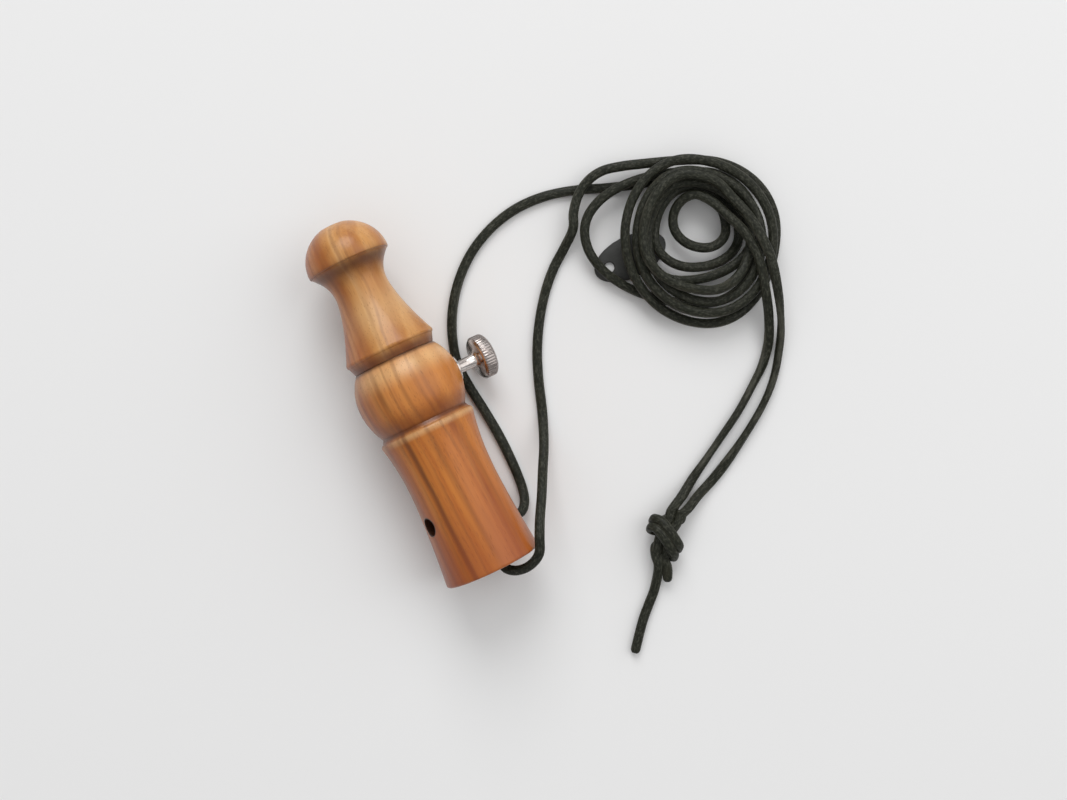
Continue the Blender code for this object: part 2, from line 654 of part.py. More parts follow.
def tube(name, points, skin, resolution):
    curve = bpy.data.curves.new(name, "CURVE")
    curve.dimensions = "3D"
    curve.bevel_depth = CORD_D / 2.0 * MM
    curve.bevel_resolution = resolution
    curve.use_fill_caps = True
    spline = curve.splines.new("POLY")
    spline.points.add(len(points) - 1)
    for place, point in zip(spline.points, points):
        place.co = (*(point * MM), 1.0)
    add_object(name, curve, skin, None)


def least_gap(first, second=None):
    """Least gap between two tubes, or of one tube to itself, measured on their centre lines' points."""
    skip = round(2.5 * CORD_D / FINE_STEP)
    gap = 1e9
    for number, point in enumerate(first):
        others = second if second else first[number + skip:]
        for other in others:
            gap = min(gap, (point - other).length - CORD_D)
    return gap


def make_lanyard(leather):
    """Both halves of the lace, each cut into its nodes with a gap of GAP between faces."""
    bell = bell_stretch()
    leg_knob = [Vector(point) for point in LEG_KNOB]
    coil_a = coil_turns(COIL_A, False) + [coil_point(x, y, layer_height(z)) for x, y, z in COIL_A_EXIT]
    end_a = [knot_point(-KNOT_LEAD, -STRAND_OFFSET), knot_point(-GAP, -STRAND_OFFSET)]
    run_a = [Vector(point) for point in RUN_A] + end_a
    half_a = smooth_curve(bell + leg_knob + coil_a + run_a)
    along_a = lengths_along(half_a)
    marks_a = [0.0, nearest_length(half_a, along_a, bell[-2]), nearest_length(half_a, along_a, leg_knob[-1]),
               nearest_length(half_a, along_a, coil_a[-1]), along_a[-1]]

    start_b = call_point(math.cos(CORD_HOLE_DROP) * CORD_MOUTH_OFFSET, CORD_MEET_AT - GAP,
                         -math.sin(CORD_HOLE_DROP) * CORD_MOUTH_OFFSET)
    leg_rim = [start_b] + [Vector(point) for point in LEG_RIM]
    coil_b = [coil_point(x, y, layer_height(z)) for x, y, z in COIL_B_ENTRY] + coil_turns(COIL_B, False)
    coil_b += [coil_point(x, y, layer_height(z)) for x, y, z in COIL_B_EXIT]
    end_b = [knot_point(-KNOT_LEAD, STRAND_OFFSET), knot_point(-GAP, STRAND_OFFSET)]
    run_b = [Vector(point) for point in RUN_B] + end_b
    half_b = smooth_curve(leg_rim + coil_b + run_b)
    along_b = lengths_along(half_b)
    marks_b = [0.0, nearest_length(half_b, along_b, leg_rim[-1]), nearest_length(half_b, along_b, coil_b[-1]),
               along_b[-1]]

    nodes = [("lanyard_in_bell", half_a, along_a, marks_a[0], marks_a[1]),
             ("lanyard_leg_knob", half_a, along_a, marks_a[1] + GAP, marks_a[2]),
             ("lanyard_coil_a", half_a, along_a, marks_a[2] + GAP, marks_a[3]),
             ("lanyard_strand_a", half_a, along_a, marks_a[3] + GAP, marks_a[4]),
             ("lanyard_leg_rim", half_b, along_b, marks_b[0], marks_b[1]),
             ("lanyard_coil_b", half_b, along_b, marks_b[1] + GAP, marks_b[2]),
             ("lanyard_strand_b", half_b, along_b, marks_b[2] + GAP, marks_b[3])]
    fine = {}
    for name, dense, lengths, start, end in nodes:
        fine[name] = stretch(dense, lengths, start, end, FINE_STEP)
        points = sparse(fine[name])
        tube(name, points, leather, 1 if "coil" in name else 2)
        print(name, "length", round(end - start, 1), "points", len(points), "least gap to itself",
              round(least_gap(fine[name]), 2))
    names = list(fine)
    for number, one in enumerate(names):
        for other in names[number + 1:]:
            gap = least_gap(fine[one], fine[other])
            if gap < GAP:
                print(one, "to", other, "gap", round(gap, 2))
    print("lace from knot to knot", round(along_a[-1] + along_b[-1], 1))

    tails = [("lanyard_tail_long", TAIL_LONG, -STRAND_OFFSET),
             ("lanyard_tail_short", TAIL_SHORT, STRAND_OFFSET)]
    for name, points, offset in tails:
        start = [knot_point(KNOT_LENGTH + GAP, offset, TAIL_TOP),
                 knot_point(KNOT_LENGTH + TAIL_LEAD, offset, TAIL_BEND_TOP)]
        dense = smooth_curve(start + [Vector(point) for point in points])
        lengths = lengths_along(dense)
        tube(name, sparse(stretch(dense, lengths, 0.0, lengths[-1], FINE_STEP)), leather, 2)
        print(name, "length", round(lengths[-1], 1))


def make_knot(leather):
    """A twisted lump with flat ends, as long and thick as the knot in the lace."""
    side = knot_side()
    up = Vector((0.0, 0.0, 1.0))
    points = []
    for number in range(KNOT_STEPS + 1):
        part = number / KNOT_STEPS
        swell = lerp(KNOT_END_R, KNOT_R, math.sin(math.pi * part) ** KNOT_SWELL_POWER)
        for step in range(KNOT_SEGMENTS):
            angle = math.tau * step / KNOT_SEGMENTS
            lobes = 1.0 - KNOT_LOBE + KNOT_LOBE * math.cos(2.0 * (angle - KNOT_TWIST * part))
            place = knot_point(KNOT_LENGTH * part, 0.0)
            points.append(place + (side * math.cos(angle) + up * math.sin(angle)) * swell * lobes)
    faces = [list(range(KNOT_SEGMENTS)), [KNOT_STEPS * KNOT_SEGMENTS + step for step in range(KNOT_SEGMENTS)]]
    for number in range(KNOT_STEPS):
        for step in range(KNOT_SEGMENTS):
            after = (step + 1) % KNOT_SEGMENTS
            low = number * KNOT_SEGMENTS
            faces.append([low + step, low + after, low + KNOT_SEGMENTS + after, low + KNOT_SEGMENTS + step])
    add_object("lanyard_knot", mesh_from("lanyard_knot", points, faces), leather, None)


def make_tag(skin):
    """A bare oval tag with a hole near one end."""
    half_length = TAG_LENGTH / 2.0
    half_width = TAG_WIDTH / 2.0
    outline = []
    for step in range(TAG_SEGMENTS):
        angle = math.tau * step / TAG_SEGMENTS
        outline.append((half_length * math.cos(angle), half_width * math.sin(angle)))
    tag = add_object("lanyard_tag", prism("lanyard_tag", outline, 0.0, TAG_THICKNESS), skin, None)
    turn = Matrix.Rotation(TAG_TURN, 3, "Z") @ Matrix.Rotation(math.pi / 2, 3, "X")
    tag.rotation_euler = turn.to_euler()
    tag.location = Vector((*TAG_MIDDLE, 0.0)) * MM
    drill = rod("tag_hole", TAG_HOLE_R, -DRILL_PAST, TAG_THICKNESS + DRILL_PAST)
    hole = add_object("tag_hole", drill, None, tag, True)
    hole.location = Vector((-half_length + 3.0 * TAG_HOLE_R, 0.0, 0.0)) * MM
    cut(tag, hole)


def main():
    for old in list(bpy.data.objects):
        bpy.data.objects.remove(old, do_unlink=True)
    wood = material("wood", (0.43, 0.153, 0.051), 0.42)
    mouth_wood = material("mouthpiece_wood", (0.45, 0.165, 0.056), 0.42)
    cork = material("cork", (0.46, 0.27, 0.13), 0.9)
    block_wood = material("block_wood", (0.36, 0.2, 0.09), 0.7)
    brass = material("brass", (0.72, 0.5, 0.2), 0.3, 1.0)
    reed_brass = material("reed_brass", (0.8, 0.6, 0.3), 0.25, 1.0)
    wedge_wood = material("wedge_wood", (0.5, 0.33, 0.17), 0.7)
    nickel = material("nickel", (0.66, 0.62, 0.58), 0.22, 1.0)
    nylon = material("nylon", (0.85, 0.84, 0.8), 0.5)
    leather = material("leather", (0.028, 0.029, 0.02), 0.6)
    tag_skin = material("tag_card", (0.05, 0.05, 0.048), 0.55)

    call = empty("call_axis", None, (AXIS_X, AXIS_Y, AXIS_AT_END), Matrix.Rotation(TILT, 3, "X"))
    turn = Matrix.Rotation(SCREW_DROP, 3, "Y")
    screw = empty("screw_axis", call, (0.0, SCREW_AT, 0.0), turn @ Matrix.Rotation(-math.pi / 2, 3, "Z"))
    reed_frame = empty("reed_frame", call, (0.0, 0.0, 0.0), turn)

    body = make_body(call, wood)
    drill_body(body, call, screw)
    make_mouthpiece(call, mouth_wood, cork)
    reed_top = make_reed_unit(reed_frame, block_wood, brass, reed_brass, wedge_wood)
    make_screw(screw, reed_top, nickel, brass, nylon)
    make_lanyard(leather)
    make_knot(leather)
    make_tag(tag_skin)
    print("tilt", math.degrees(TILT), "screw drop", math.degrees(SCREW_DROP))
    print("axis at the bell's end", AXIS_X, AXIS_Y, AXIS_AT_END)


main()
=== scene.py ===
# Looks of the roe deer call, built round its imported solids. Sizes are in millimetres until a mesh is made.
import json
from math import acos, asin, atan2, ceil, copysign, cos, pi, radians, sin, sqrt, tau

import bmesh
import bpy
from mathutils import Matrix, Vector


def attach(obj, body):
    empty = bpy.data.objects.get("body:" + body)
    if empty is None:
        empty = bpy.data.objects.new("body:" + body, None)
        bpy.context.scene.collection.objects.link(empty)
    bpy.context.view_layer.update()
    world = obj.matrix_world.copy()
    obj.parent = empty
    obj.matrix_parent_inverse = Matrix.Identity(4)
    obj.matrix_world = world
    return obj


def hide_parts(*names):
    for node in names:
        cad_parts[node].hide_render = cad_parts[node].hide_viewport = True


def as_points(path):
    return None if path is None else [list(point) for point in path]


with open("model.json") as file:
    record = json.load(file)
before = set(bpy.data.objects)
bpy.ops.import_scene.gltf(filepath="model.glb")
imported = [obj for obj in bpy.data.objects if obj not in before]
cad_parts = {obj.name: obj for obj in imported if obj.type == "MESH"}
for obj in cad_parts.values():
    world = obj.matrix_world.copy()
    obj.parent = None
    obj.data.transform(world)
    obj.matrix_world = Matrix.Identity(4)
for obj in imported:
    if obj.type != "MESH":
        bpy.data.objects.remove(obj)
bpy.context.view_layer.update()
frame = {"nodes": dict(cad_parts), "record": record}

MM = 0.001
UP = Vector((0.0, 0.0, 1.0))
GAP = 0.3
DRILL_PAST = 2.0

# Places along the call's own axis, from the bell's end
WAIST_AT = 24.5
SHOULDER_AT = 40.5
BALL_FOOT_AT = 42.6
EQUATOR_AT = 51.8
BALL_TOP_AT = 60.6
COLLAR_AT = 64.0
NECK_AT = 81.2
MUSHROOM_AT = 89.5
CALL_LENGTH = 100.0

# Outer radii of the wood
RIM_R = 13.3
WAIST_R = 11.6
SHOULDER_R = 13.2
BALL_FOOT_R = 11.9
BALL_R = 14.4
BALL_TOP_R = 11.45
COLLAR_FOOT_R = 11.15
COLLAR_R = 12.45
NECK_R = 7.35
MUSHROOM_R = 11.3

# Rounding of the wood's edges and bend of its curves
RIM_EDGE = 0.7
LIP_EDGE = 0.5
SHOULDER_EDGE = 1.1
BODY_EDGE = 0.25
FOOT_RISE = 0.35
COLLAR_EDGE = 0.8
MUSHROOM_EDGE = 0.7
MUSHROOM_LIP_DROP = 0.25
SHOULDER_ROLL_END = radians(20.0)
COLLAR_ROLL_START = radians(150.0)
COLLAR_ROLL_END = radians(60.0)
MUSHROOM_ROLL_START = radians(215.0)
MUSHROOM_ROLL_END = radians(100.0)
BELL_POWER = 1.5
SHOULDER_POWER = 2.35
COLLAR_POWER = 1.5
NECK_POWER = 2.2
FLARE_POWER = 1.2

# Bores and tenon of the wood
BELL_MOUTH_R = 9.8
BELL_THROAT_R = 6.0
BELL_DEPTH = 26.0
THROAT_R = 4.5
THROAT_LENGTH = 3.0
THROAT_EDGE = 0.25
CHAMBER_R = 6.5
SOCKET_R = 8.5
SOCKET_DEPTH = 5.2
SOCKET_EDGE = 0.5
BLOW_R = 3.3
BLOW_EDGE = 0.6
BLOW_START_AT = 67.9
TENON_R = 8.0
TENON_EDGE = 0.25
TENON_BORE_R = 5.0
TENON_BORE_END_AT = 63.0
GROOVE_DEPTH = 1.1
GROOVE_LAND = 0.9

# Holes in the bell's side
SIDE_HOLE_AT = 17.0
SIDE_HOLE_R = 2.4
SIDE_HOLE_RISE = radians(31.0)
CORD_HOLE_AT = 9.0
CORD_HOLE_R = 2.0
CORD_HOLE_DROP = radians(35.0)

# Tuning screw and its bush, outwards from the call's axis
SCREW_INNER = 5.8
SCREW_R = 2.0
SCREW_EDGE = 0.25
STEM_HOLE_END = 7.55
STEM_HOLE_R = 1.0
THREAD_START = 6.4
THREAD_END = 14.0
THREAD_PITCH = 0.7
THREAD_DEPTH = 0.36
THREAD_STEPS = 6
THREAD_FADE = 5.0
SHANK_R = 1.8
HEAD_INNER = 20.5
HEAD_OUTER = 24.5
HEAD_DISH = 0.08
KNURL_FLUTES = 48
KNURL_DEPTH = 0.13
INSERT_INNER = 7.2
INSERT_R = 2.95
FLANGE_SINK = 1.0
FLANGE_THICKNESS = 1.1
FLANGE_R = 3.7

# Camera, straight above the table
CAMERA_AT = (23.25, -14.2, 384.8)
CAMERA_UP = (0.42736, 0.90408, 0.0)
FOCAL_PIXELS = 1400.0
IMAGE_WIDTH = 1067.0
SENSOR_WIDTH = 36.0

# Lace, with its half width and half thickness where it is round and where it is pressed flat
LACE_ROUND = (1.27, 1.18)
LACE_FLAT = (1.35, 0.98)
LACE_SIDES = 16
LACE_STEP = 0.65
KNOT_STEP = 0.4
SECTION_POWER = 0.8
FREE_FLATNESS = 0.9
COIL_FLATNESS = 0.35
KNOT_FLATNESS = 0.75
LACE_TWIST = 0.4
LACE_SWELL = 0.035
END_SHARES = (0.55, 0.85, 0.97)
SETTLE_FROM = 3.0
SETTLED_AT = 1.6
SETTLE_MOST = 0.4
PATTERN_R = 1.4
PATTERN_SHIFT = 7.0

# Places of the lace
FLOOR = 1.25
LAYER = 2.9
COIL_MIDDLE = (84.3, 4.8)
COIL_TURN = radians(-25.3)
QUARTER_STEPS = 6
CORD_BEND_R = 5.0
CORD_MOUTH_OFFSET = 3.0
CORD_MEET_AT = 1.0
CORD_JOIN_R = 11.2
CORD_OUT_R = 13.5
CORD_EXIT_R = 13.3
KNOT_ENTRY = (44.4, -59.6)
KNOT_DIRECTION = Vector((-0.6, -0.8, 0.0))
KNOT_SIDE = Vector((0.8, -0.6, 0.0))
KNOT_HEIGHT = 4.6
KNOT_LEAD = 1.2
KNOT_INSIDE = (1.2, 4.0)
STRAND_OFFSET = 1.6
KNOT_STRAND_OFFSET = 1.22
CORE_STRAND_OFFSET = 1.3
KNOT_PATTERN_START = 20.0

# Tag
TAG_LENGTH = 21.2
TAG_WIDTH = 11.4
TAG_THICKNESS = 0.8
TAG_HOLE_R = 1.4
TAG_MIDDLE = (64.0, 10.0)
TAG_TURN = radians(1.7)
TAG_SEGMENTS = 96

# Route of the lace: places in the frame, and in the coil lists places in the coil's frame and layers
LEG_KNOB = [(7.7, -40.0, 4.2), (9.3, -38.0, 2.8), (10.2, -34.6, 1.75), (10.6, -30.0, 1.35),
            (10.7, -24.5, FLOOR), (10.5, -18.0, FLOOR), (9.8, -10.5, FLOOR), (8.9, -3.0, FLOOR),
            (8.7, 3.5, FLOOR), (10.2, 10.0, FLOOR), (13.4, 17.0, FLOOR), (18.4, 23.8, FLOOR),
            (25.2, 29.6, FLOOR), (33.0, 33.4, FLOOR), (41.0, 35.2, FLOOR), (49.5, 35.0, FLOOR),
            (57.9, 33.0, FLOOR), (66.0, 29.9, FLOOR), (74.0, 27.2, FLOOR)]
COIL_A = [(-1.0, 19.3, 0), (15.0, 0.5, 0), (-1.0, -16.9, 0), (-33.2, 2.6, 1),
          (-5.0, 18.7, 1), (12.5, 2.0, 1), (-7.0, -10.8, 1), (-17.4, 0.0, 0.42),
          (-3.0, 15.6, 0), (9.2, 2.0, 0), (-4.0, -7.2, 1), (-14.2, 1.4, 1.12),
          (-4.5, 14.6, 1.08), (5.2, 3.0, 1), (-0.5, -1.9, 1), (-9.2, 5.5, 1),
          (-3.0, 12.3, 1.8)]
COIL_A_EXIT = [(1.0, 10.2, 2.25), (5.3, 6.0, 2.75), (9.5, 1.6, 3.05), (12.4, -3.4, 3.15),
               (14.2, -9.0, 3.15), (15.3, -14.5, 2.75)]
RUN_A = [(90.8, -20.5, 5.2), (88.0, -27.4, 2.3), (84.4, -32.0, FLOOR), (79.2, -36.2, FLOOR),
         (72.8, -40.9, FLOOR), (66.0, -45.0, FLOOR), (59.5, -48.8, FLOOR), (53.6, -52.2, 1.7),
         (48.6, -55.2, 3.2)]
LEG_RIM = [(-2.6, -51.4, 11.9), (-0.8, -52.9, 13.2), (2.0, -53.4, 15.2), (5.1, -52.7, 17.4),
           (7.6, -50.9, 19.1), (9.4, -47.2, 19.5), (11.4, -43.2, 17.9), (14.4, -38.0, 14.0),
           (17.6, -32.0, 8.8), (20.8, -26.0, 4.2), (23.9, -18.5, 1.7), (26.8, -10.0, FLOOR),
           (29.9, -2.5, FLOOR), (34.0, 4.7, FLOOR), (39.0, 11.4, FLOOR), (43.8, 16.2, FLOOR),
           (48.6, 19.8, 2.2)]
COIL_B_ENTRY = [(-36.3, 3.4, 1), (-36.2, 7.6, 1), (-34.8, 12.6, 1), (-32.0, 16.6, 1),
                (-28.4, 19.0, 1), (-23.6, 20.2, 1), (-17.0, 21.0, 1), (-10.0, 21.7, 1)]
COIL_B = [(-2.0, 22.0, 1), (19.4, 3.5, 0), (0.5, -22.4, 0.6), (-22.4, 1.0, 2),
          (-5.5, 21.8, 2), (17.6, 0.5, 2), (0.5, -19.8, 2), (-19.2, 0.0, 2),
          (-5.5, 18.7, 2), (14.5, 0.0, 2), (0.5, -16.8, 2), (-16.2, -0.5, 2),
          (-5.5, 15.6, 2), (11.4, 0.0, 2), (0.0, -13.9, 3), (-17.7, -0.5, 3),
          (-5.5, 17.2, 3)]
COIL_B_EXIT = [(1.6, 15.4, 3), (6.2, 10.8, 3.1), (10.6, 5.6, 3.35), (14.0, -0.2, 3.6),
               (16.4, -5.8, 3.55), (17.9, -11.5, 3.1)]
RUN_B = [(94.1, -20.2, 6.7), (92.2, -26.0, 3.5), (88.8, -32.2, 1.5), (84.2, -38.0, FLOOR),
         (79.0, -42.6, FLOOR), (72.4, -47.1, FLOOR), (65.0, -51.5, FLOOR), (58.1, -55.0, FLOOR),
         (52.4, -57.2, 2.4), (49.0, -58.8, 3.4)]
TAIL_LONG = [(31.0, -75.2, 1.6), (28.2, -78.0, FLOOR), (25.1, -81.0, FLOOR), (22.0, -84.6, FLOOR),
             (18.7, -88.7, FLOOR)]
TAIL_SHORT = [(35.2, -74.6, 2.2)]

# Knot: (along, side, height) of the doubled lace and the way across its two strands
KNOT_PATH = [((-2.2, 0.0, 4.6), (0.0, 1.0, 0.0)), ((0.0, -0.3, 4.3), (0.1, 1.0, 0.0)),
             ((1.9, -1.6, 3.2), (0.55, 0.85, 0.0)), ((3.3, -3.7, 2.4), (0.95, 0.3, 0.1)),
             ((3.3, -5.7, 3.2), (1.0, 0.0, 0.1)), ((2.5, -5.9, 5.2), (0.95, -0.2, 0.1)),
             ((2.6, -4.2, 6.9), (0.85, -0.5, 0.0)), ((4.4, -1.9, 7.7), (0.72, -0.7, 0.0)),
             ((6.6, 0.3, 7.3), (0.72, -0.7, 0.0)), ((8.4, 1.9, 5.7), (0.8, -0.55, 0.1)),
             ((9.3, 2.3, 3.6), (0.95, -0.2, 0.0)), ((9.4, 0.9, 2.2), (1.0, 0.0, 0.0)),
             ((9.0, -1.2, 2.2), (0.95, 0.3, 0.0)), ((9.5, -2.6, 3.3), (0.6, 0.8, 0.0)),
             ((11.4, -1.9, 4.0), (0.2, 0.95, 0.0)), ((13.6, -0.6, 3.8), (0.0, 1.0, 0.0))]

# Strands through the middle of the knot: (along, side, height) between the two
KNOT_CORE = [(-0.8, 0.0, 4.6), (1.6, -0.7, 4.8), (4.0, -1.7, 4.95), (6.6, -1.9, 4.9), (9.0, -1.8, 4.5),
             (11.2, -1.6, 4.1)]


def joint(name):
    """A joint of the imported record."""
    return next(row for row in frame["record"]["behaviour"]["joints"] if row["name"] == name)


# The call's own axis from the bell's end, and the tuning screw's axis square to it at the ball's equator
CALL_WAY = Vector(joint("mouthpiece_pull")["axis"])
AXIS = Vector(joint("knob_turn")["pos_m"]) / MM - CALL_WAY * EQUATOR_AT
TILT = atan2(CALL_WAY.z, CALL_WAY.y)
SCREW_DROP = acos(joint("screw_advance")["axis"][0])


# Places
def lerp(start, end, part):
    return start + (end - start) * part


def smooth(part):
    """A part of 0 to 1, eased at both ends."""
    return part * part * (3.0 - 2.0 * part)


def between(part, start, end, ramp):
    """1 between start and end and 0 outside, with a ramp at either end."""
    return min(1.0, max(0.0, (part - start) / ramp)) * min(1.0, max(0.0, (end - part) / ramp))


def call_point(across, along, up):
    """A point of the call's own frame in the part's frame."""
    y = along * cos(TILT) - up * sin(TILT)
    z = along * sin(TILT) + up * cos(TILT)
    return Vector((AXIS.x + across, AXIS.y + y, AXIS.z + z))


def side_frame(at, drop):
    """The frame of a hole or screw in the call's side, with along counted outwards from the call's axis."""
    def place(across, along, up):
        out = along * cos(drop) + up * sin(drop)
        height = up * cos(drop) - along * sin(drop)
        return call_point(out, at - across, height)

    return place


screw_point = side_frame(EQUATOR_AT, SCREW_DROP)
cord_hole_point = side_frame(CORD_HOLE_AT, CORD_HOLE_DROP)
side_hole_point = side_frame(SIDE_HOLE_AT, pi + SIDE_HOLE_RISE)


def lace_side(out, along):
    """A place off the call's axis, on the side of the lace's hole."""
    return call_point(cos(CORD_HOLE_DROP) * out, along, -sin(CORD_HOLE_DROP) * out)


def turned_place(middle, turn, across, up, height):
    """A place of a frame that is turned about its middle on the floor."""
    x = middle[0] + across * cos(turn) - up * sin(turn)
    y = middle[1] + across * sin(turn) + up * cos(turn)
    return Vector((x, y, height))


def coil_point(across, up, layer):
    return turned_place(COIL_MIDDLE, COIL_TURN, across, up, FLOOR + LAYER * layer)


def knot_point(along, offset, height=KNOT_HEIGHT):
    place = Vector((KNOT_ENTRY[0], KNOT_ENTRY[1], height))
    return place + KNOT_DIRECTION * along + KNOT_SIDE * offset


# Node helpers
def feed(tree, socket, value):
    """Link a socket to another one, or set its value."""
    if isinstance(value, bpy.types.NodeSocket):
        tree.links.new(value, socket)
    elif value is not None:
        socket.default_value = value


def add_node(tree, kind, **values):
    """A new node, with values for its sockets by name."""
    made = tree.nodes.new("ShaderNode" + kind)
    for name, value in values.items():
        feed(tree, made.inputs[name.replace("_", " ")], value)
    return made


def math_node(tree, operation, *values):
    made = add_node(tree, "Math")
    made.operation = operation
    for socket, value in zip(made.inputs, values):
        feed(tree, socket, value)
    return made.outputs[0]


def vector_node(tree, operation, first, second=None, output=0):
    made = add_node(tree, "VectorMath")
    made.operation = operation
    feed(tree, made.inputs[0], first)
    feed(tree, made.inputs[1], second)
    return made.outputs[output]


def object_place(tree):
    return add_node(tree, "TexCoord").outputs["Object"]


def split(tree, place):
    """The X, Y and Z of a place."""
    return add_node(tree, "SeparateXYZ", Vector=place).outputs


def scaled_place(tree, place, scale):
    """A place times a scale, which is one number or one for each axis."""
    return vector_node(tree, "MULTIPLY", place, scale if isinstance(scale, tuple) else (scale,) * 3)


def noise(tree, place, scale, detail=3.0, roughness=0.5, distortion=0.0):
    return add_node(tree, "TexNoise", Vector=scaled_place(tree, place, scale), Scale=1.0, Detail=detail,
                    Roughness=roughness, Distortion=distortion).outputs[0]


def line_noise(tree, value, scale, detail, roughness):
    """Noise along one number, for rings of uneven width."""
    made = add_node(tree, "TexNoise", Scale=scale, Detail=detail, Roughness=roughness)
    made.noise_dimensions = "1D"
    feed(tree, made.inputs["W"], value)
    return made.outputs[0]


def cells(tree, place, scale):
    """Distance from the middle of each of many small cells."""
    place = scaled_place(tree, place, scale)
    return add_node(tree, "TexVoronoi", Vector=place, Scale=1.0).outputs["Distance"]


def ranged(tree, value, low, high, to_low=0.0, to_high=1.0):
    """A value between low and high, eased over to another range and held at its ends."""
    made = add_node(tree, "MapRange", Value=value, From_Min=low, From_Max=high, To_Min=to_low, To_Max=to_high)
    made.interpolation_type = "SMOOTHSTEP"
    return made.outputs[0]


def ramp(tree, value, stops):
    """Colours that change with a value, from stops of (place, colour)."""
    made = add_node(tree, "ValToRGB")
    feed(tree, made.inputs[0], value)
    elements = made.color_ramp.elements
    while len(elements) < len(stops):
        elements.new(0.5)
    for element, (at, colour) in zip(elements, stops):
        element.position = at
        element.color = (*colour, 1.0)
    return made.outputs[0]


def mix(tree, share, first, second):
    """The first colour with a share of the second."""
    made = add_node(tree, "Mix")
    made.data_type = "RGBA"
    feed(tree, made.inputs[0], share)
    for socket, value in ((made.inputs[6], first), (made.inputs[7], second)):
        feed(tree, socket, value if isinstance(value, bpy.types.NodeSocket) else (*value, 1.0))
    return made.outputs[2]


def tint(tree, base, colour, value, low, high, share=1.0):
    """A base colour that takes on a share of another one as a value goes from low to high."""
    return mix(tree, ranged(tree, value, low, high, 0.0, share), base, colour)


def bump(tree, height, distance, strength, after=None):
    return add_node(tree, "Bump", Height=height, Distance=distance, Strength=strength,
                    Normal=after).outputs[0]


def from_line(tree, place, start, way):
    """Distance of a place from a line, and the length along the line, in metres."""
    offset = vector_node(tree, "SUBTRACT", place, tuple(start * MM))
    along = vector_node(tree, "DOT_PRODUCT", offset, tuple(way), output=1)
    scaled = add_node(tree, "VectorMath")
    scaled.operation = "SCALE"
    scaled.inputs[0].default_value = tuple(way)
    feed(tree, scaled.inputs["Scale"], along)
    beside = vector_node(tree, "SUBTRACT", offset, scaled.outputs[0])
    return vector_node(tree, "LENGTH", beside, output=1), along


def from_axis(tree, place, point):
    """Distance of a place from the axis of a frame in the call's side, and the length along it."""
    start = point(0.0, 0.0, 0.0)
    return from_line(tree, place, start, point(0.0, 1.0, 0.0) - start)


def shader(name, **values):
    """A material with a Principled shader, and its tree. Values go on the shader's own sockets."""
    made = bpy.data.materials.new(name)
    made.use_nodes = True
    principled = made.node_tree.nodes["Principled BSDF"]
    for key, value in values.items():
        principled.inputs[key.replace("_", " ")].default_value = value
    return made, made.node_tree


def surface(made, colour, roughness, normal):
    """The material, with its shader fed by nodes."""
    tree = made.node_tree
    for name, value in (("Base Color", colour), ("Roughness", roughness), ("Normal", normal)):
        feed(tree, tree.nodes["Principled BSDF"].inputs[name], value)
    return made


def srgb(red, green, blue):
    """An sRGB colour of 0 to 255 as linear numbers."""
    values = []
    for channel in (red, green, blue):
        part = channel / 255.0
        values.append(part / 12.92 if part <= 0.04045 else ((part + 0.055) / 1.055) ** 2.4)
    return tuple(values)


